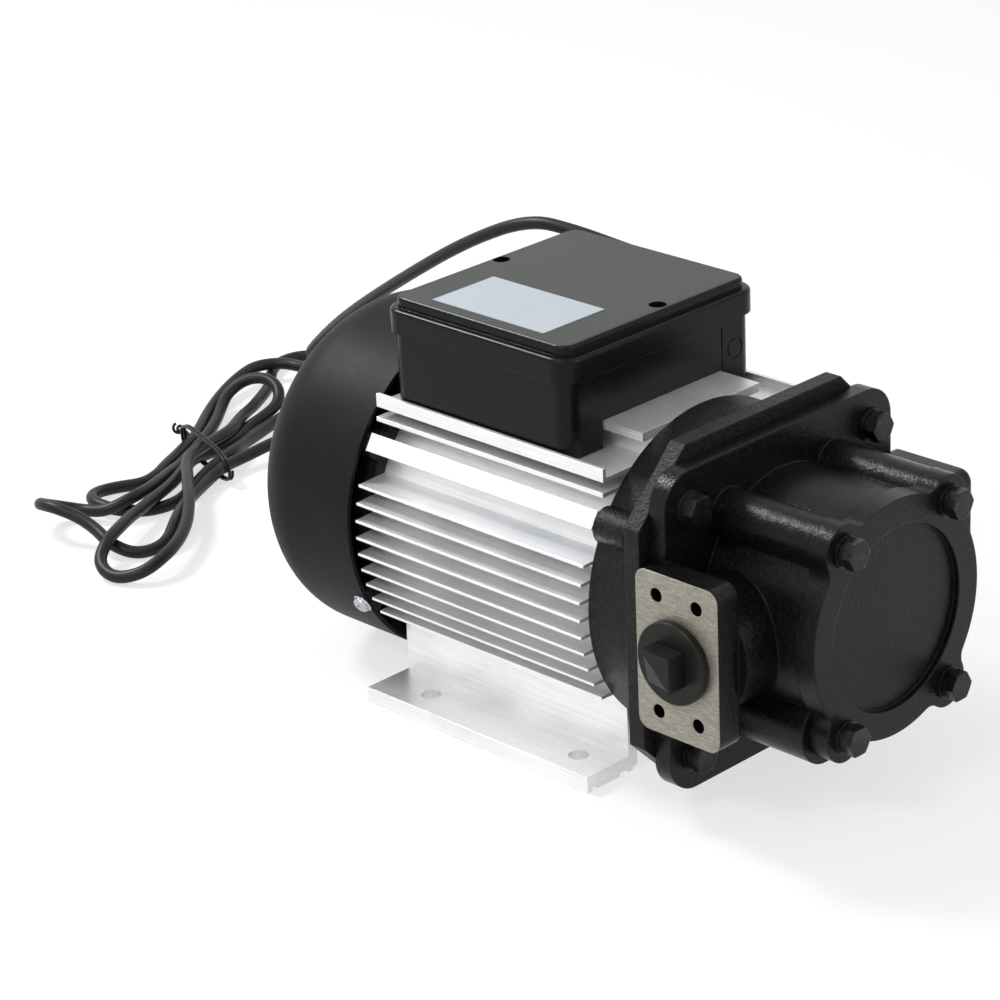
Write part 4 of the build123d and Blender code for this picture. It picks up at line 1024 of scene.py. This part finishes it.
@dataclass
class MainsCable:
    """The cable, its tapered relief at the gland and the wire round its hank."""

    wardrobe: Wardrobe
    radius: float = 3.5
    exit: Point = (-40.0, 85.0, 172.0)
    declared_length: float = 2.21
    relief_length: float = 26.0
    relief_start: float = 6.3
    relief_end: float = 4.2
    relief_tuck: float = 1.0
    relief_samples: int = 90
    relief_sides: int = 28
    ring_count: int = 6
    ring_depth: float = 0.35
    ring_span: tuple[float, float] = (0.08, 0.97)
    tie_place: tuple[float, float] = (-372.5, 62.9)
    tie_angle: float = 72.0
    tie_half_width: float = 34.0
    tie_half_height: float = 8.6
    tie_squareness: float = 0.588
    tie_spread: float = 1.9
    tie_turns: int = 2
    tie_samples: int = 260
    tail_reach: float = 14.0
    tail_rise: float = -4.0
    tail_lift: float = 3.0
    tail_sway: float = 4.0
    tail_wave: float = 3.0
    tail_samples: int = 90
    twist_turns: float = 4.5
    strand_gap: float = 1.1
    strand_flare: float = 7.2
    flare_start: float = 0.75
    wire_radius: float = 0.85
    wire_sides: int = 10
    guide_lean: float = 0.02

    def build(self) -> None:
        """Lay the cable and put its small pieces on it."""
        cable = self.lay()
        line = self.centre_line(cable)
        relief = self.relief(line)
        tie = self.tie()

    def lay(self) -> bpy.types.Object:
        """The sheath as one open NURBS curve of order 3 through the route's control points.

        Returns:
            The curve object.
        """
        data = bpy.data.curves.new("mains_cable", "CURVE")
        data.dimensions = "3D"
        data.bevel_depth = self.radius * MM
        data.bevel_resolution = 5
        data.use_fill_caps = True
        data.resolution_u = 7
        route = np.array([self.exit, *CABLE_POINTS]) * MM
        spline = data.splines.new("NURBS")
        spline.points.add(len(route) - 1)
        spline.points.foreach_set("co", np.column_stack([route, np.ones(len(route))]).ravel())
        spline.order_u = 3
        spline.use_endpoint_u = True
        data.materials.append(self.wardrobe.finish("cable_sheath"))
        cable = bpy.data.objects.new("mains_cable", data)
        bpy.context.scene.collection.objects.link(cable)
        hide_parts("cable_lead", "cable_hank", "cable_tail")
        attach(cable, Body.PUMP.value)
        log.info("mains_cable: %d control points", len(route))
        return cable

    def centre_line(self, cable: bpy.types.Object) -> np.ndarray:
        """Points along the cable in millimetres, read from its curve with no bevel.

        Args:
            cable: The cable's curve object.

        Returns:
            One row to a point, from the gland on.
        """
        bare = cable.data.copy()
        bare.bevel_depth = 0.0
        probe = bpy.data.objects.new("probe", bare)
        mesh = bpy.data.meshes.new_from_object(probe)
        line = np.zeros(len(mesh.vertices) * 3)
        mesh.vertices.foreach_get("co", line)
        bpy.data.objects.remove(probe)
        bpy.data.meshes.remove(mesh)
        bpy.data.curves.remove(bare)
        return line.reshape(-1, 3) / MM

    def relief(self, line: np.ndarray) -> bpy.types.Object:
        """Tapered sleeve on the cable where it leaves the gland.

        The radius falls from relief_start to relief_end along the sleeve, less a small cosine that cuts
        shallow rings into it.

        Args:
            line: The cable's centre line.

        Returns:
            The sleeve.
        """
        run = np.concatenate([[0.0], np.cumsum(np.linalg.norm(np.diff(line, axis=0), axis=1))])
        along = np.linspace(-self.relief_tuck, self.relief_length, self.relief_samples)
        path = np.column_stack([np.interp(along, run, line[:, axis]) for axis in range(3)])
        path[0] = line[0] - self.relief_tuck * unit(line[1] - line[0])
        share = np.clip(along / self.relief_length, 0, 1)
        first, last = self.ring_span
        waves = 0.5 - 0.5 * np.cos(2 * np.pi * self.ring_count * share)
        rings = self.ring_depth * waves * (share > first) * (share < last)
        radius = self.relief_start + (self.relief_end - self.relief_start) * share - rings
        sleeve = tube("cable_relief", path, radius, self.relief_sides, np.array([0.0, 0.0, 1.0]))
        sleeve.data.materials.append(self.wardrobe.finish("seal_rubber"))
        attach(sleeve, Body.PUMP.value)
        log.info("cable_relief: %.0f mm long", self.relief_length)
        return sleeve

    def tie(self) -> bpy.types.Object:
        """Thin wire, twice round the waist of the hank, with its two ends twisted together.

        Round the waist the path is a superellipse |x/a|^n + |y/b|^n = 1, rising slowly along the hank;
        the ends are two helices half a turn apart about a line that points away from the hank.

        Returns:
            The tie.
        """
        angle = math.radians(self.tie_angle)
        across = np.array([math.sin(angle), -math.cos(angle), 0.0])
        along = np.array([math.cos(angle), math.sin(angle), 0.0])
        up = np.array([0.0, 0.0, 1.0])
        centre = np.array([*self.tie_place, self.tie_half_height + self.wire_radius])
        turn = np.linspace(0, 2 * np.pi * self.tie_turns, self.tie_samples)
        wide, high = (np.sign(wave) * np.abs(wave) ** self.tie_squareness
                      for wave in (np.cos(turn)[:, None], np.sin(turn)[:, None]))
        rise = turn[:, None] / (2 * np.pi) - self.tie_turns / 2
        band = (centre + across * wide * self.tie_half_width + up * high * self.tie_half_height
                + along * self.tie_spread * rise)
        wires = [(band, along + self.guide_lean)]
        step = np.linspace(0, 1, self.tail_samples)[:, None]
        line = (centre - across * (self.tie_half_width - 1 + self.tail_reach * step)
                + up * (self.tail_rise + self.tail_lift * step * step)
                + along * self.tail_sway * np.sin(self.tail_wave * step))
        spread = self.strand_gap + self.strand_flare * np.clip(step - self.flare_start, 0, 1)
        for half in (0.0, np.pi):
            twist = 2 * np.pi * self.twist_turns * step + half
            wires.append((line + spread * (np.cos(twist) * up + np.sin(twist) * along), -across))
        points, faces, count = [], [], 0
        for path, guide in wires:
            points.append(tube_grid(path, np.full(len(path), self.wire_radius), self.wire_sides, guide))
            faces.append(grid_faces(len(path), self.wire_sides, False, True)[:, ::-1] + count)
            count += len(points[-1])
        piece = surface("hank_tie", np.concatenate(points), faces)
        piece.data.materials.append(self.wardrobe.finish("tie_wire"))
        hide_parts("twist_tie")
        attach(piece, Body.PUMP.value)
        log.info("hank_tie: two turns and a twist")
        return piece


# Studio


@dataclass
class Studio:
    """Floor, lamps, world and camera."""

    azimuth: float = 45.82
    elevation: float = 23.11
    roll: float = -2.58
    lens: float = 127.36
    place: Point = (1.0954, -1.1300, 0.7755)
    aim_height: float = 0.09
    sensor: float = 36.0
    floor_half: float = 6.0
    floor_points: int = 9
    floor_drop: float = 0.4
    floor_grey: Colour = (0.86, 0.86, 0.86)
    floor_glow: float = 0.68
    sky: float = 0.57

    def build(self) -> None:
        """Make the whole studio."""
        self.floor()
        self.world()
        self.lamps()
        self.camera()

    def floor(self) -> None:
        """A plain pale sheet whose height is nought everywhere, white to the camera but for its shadow."""
        side = np.linspace(-self.floor_half, self.floor_half, self.floor_points) / MM
        first, second = np.meshgrid(side, side, indexing="ij")
        points = np.column_stack([first.ravel(), second.ravel(), np.full(first.size, -self.floor_drop)])
        faces = grid_faces(self.floor_points, self.floor_points, False, False)[:, ::-1]
        sheet = surface("studio_floor", points, [faces])
        graph = Paint("studio_floor_finish")
        glow = graph.add("ShaderNodeEmission", {}, {"Color": (1.0, 1.0, 1.0), "Strength": 1.0})
        plain = graph.add("ShaderNodeBsdfDiffuse", {}, {"Color": self.floor_grey})
        share = graph.direct_ray() * self.floor_glow
        both = graph.add("ShaderNodeMixShader", {}, {0: share, 1: plain, 2: glow})
        sheet.data.materials.append(graph.finish(both))

    def world(self) -> None:
        """Dim even light, white behind the object."""
        world = bpy.data.worlds.new("studio_world")
        bpy.context.scene.world = world
        world.use_nodes = True
        graph = Graph(world.node_tree)
        shade, white = (
            graph.add("ShaderNodeBackground", {}, {"Color": (1.0, 1.0, 1.0), "Strength": strength})
            for strength in (self.sky, 1.0))
        choice = graph.add("ShaderNodeMixShader", {}, {0: graph.direct_ray(), 1: shade, 2: white})
        graph.add("ShaderNodeOutputWorld", {}, {"Surface": choice}, None)

    def lamps(self) -> None:
        """Soft boxes: over the rear left, over the pump end and low in front."""
        self.soft_box("key", (0.1, -1.4, 1.4), (0.45, 0.35), 10.0)
        self.soft_box("rear", (-1.3, -0.35, 1.5), (0.4, 0.4), 30.0)
        self.soft_box("side", (1.6, 0.5, 0.9), (0.9, 0.9), 7.0)

    def soft_box(self, name: str, place: Point, size: tuple[float, float], power: float) -> None:
        """One rectangular area lamp that looks at the pump.

        Args:
            name: The lamp's name.
            place: Where it stands, in metres.
            size: Its width and height.
            power: Its power in watts.
        """
        data = bpy.data.lights.new(name, "AREA")
        data.shape = "RECTANGLE"
        data.size, data.size_y = size
        data.energy = power
        lamp = bpy.data.objects.new(name, data)
        bpy.context.scene.collection.objects.link(lamp)
        lamp.location = place
        aim = Vector((0.0, 0.0, self.aim_height)) - Vector(place)
        lamp.rotation_mode = "QUATERNION"
        lamp.rotation_quaternion = aim.to_track_quat("-Z", "Y")

    def camera(self) -> None:
        """Camera at the photograph's angle; its axes are worked out from azimuth, elevation and roll."""
        around, above, roll = (math.radians(angle) for angle in (self.azimuth, self.elevation, self.roll))
        back = np.array([math.sin(around) * math.cos(above), -math.cos(around) * math.cos(above),
                         math.sin(above)])
        right = np.array([math.cos(around), math.sin(around), 0.0])
        up = np.cross(back, right)
        turned = math.cos(roll) * right + math.sin(roll) * up
        upright = math.cos(roll) * up - math.sin(roll) * right
        data = bpy.data.cameras.new("camera")
        data.lens = self.lens
        data.sensor_width = self.sensor
        data.clip_start, data.clip_end = 0.05, 50.0
        camera = bpy.data.objects.new("camera", data)
        bpy.context.scene.collection.objects.link(camera)
        matrix = np.eye(4)
        matrix[:3, 0], matrix[:3, 1], matrix[:3, 2], matrix[:3, 3] = turned, upright, back, self.place
        camera.matrix_world = Matrix(matrix.tolist())
        bpy.context.scene.camera = camera


def set_colours() -> None:
    """Plain colour handling."""
    bpy.context.scene.view_settings.view_transform = "Standard"


def main() -> None:
    """Load the frame, dress it, add the pieces and the studio."""
    logging.basicConfig(level=logging.INFO, format="%(name)s: %(message)s")
    bpy.ops.wm.read_factory_settings(use_empty=True)
    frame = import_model()
    set_colours()
    wardrobe = Wardrobe()
    wardrobe.dress_frame(frame)
    Studio().build()
    CoverScrews(wardrobe).build()
    PortPlug(wardrobe).build()
    ValveSpring(wardrobe).build()
    MainsCable(wardrobe).build()


if __name__ == "__main__":
    main()
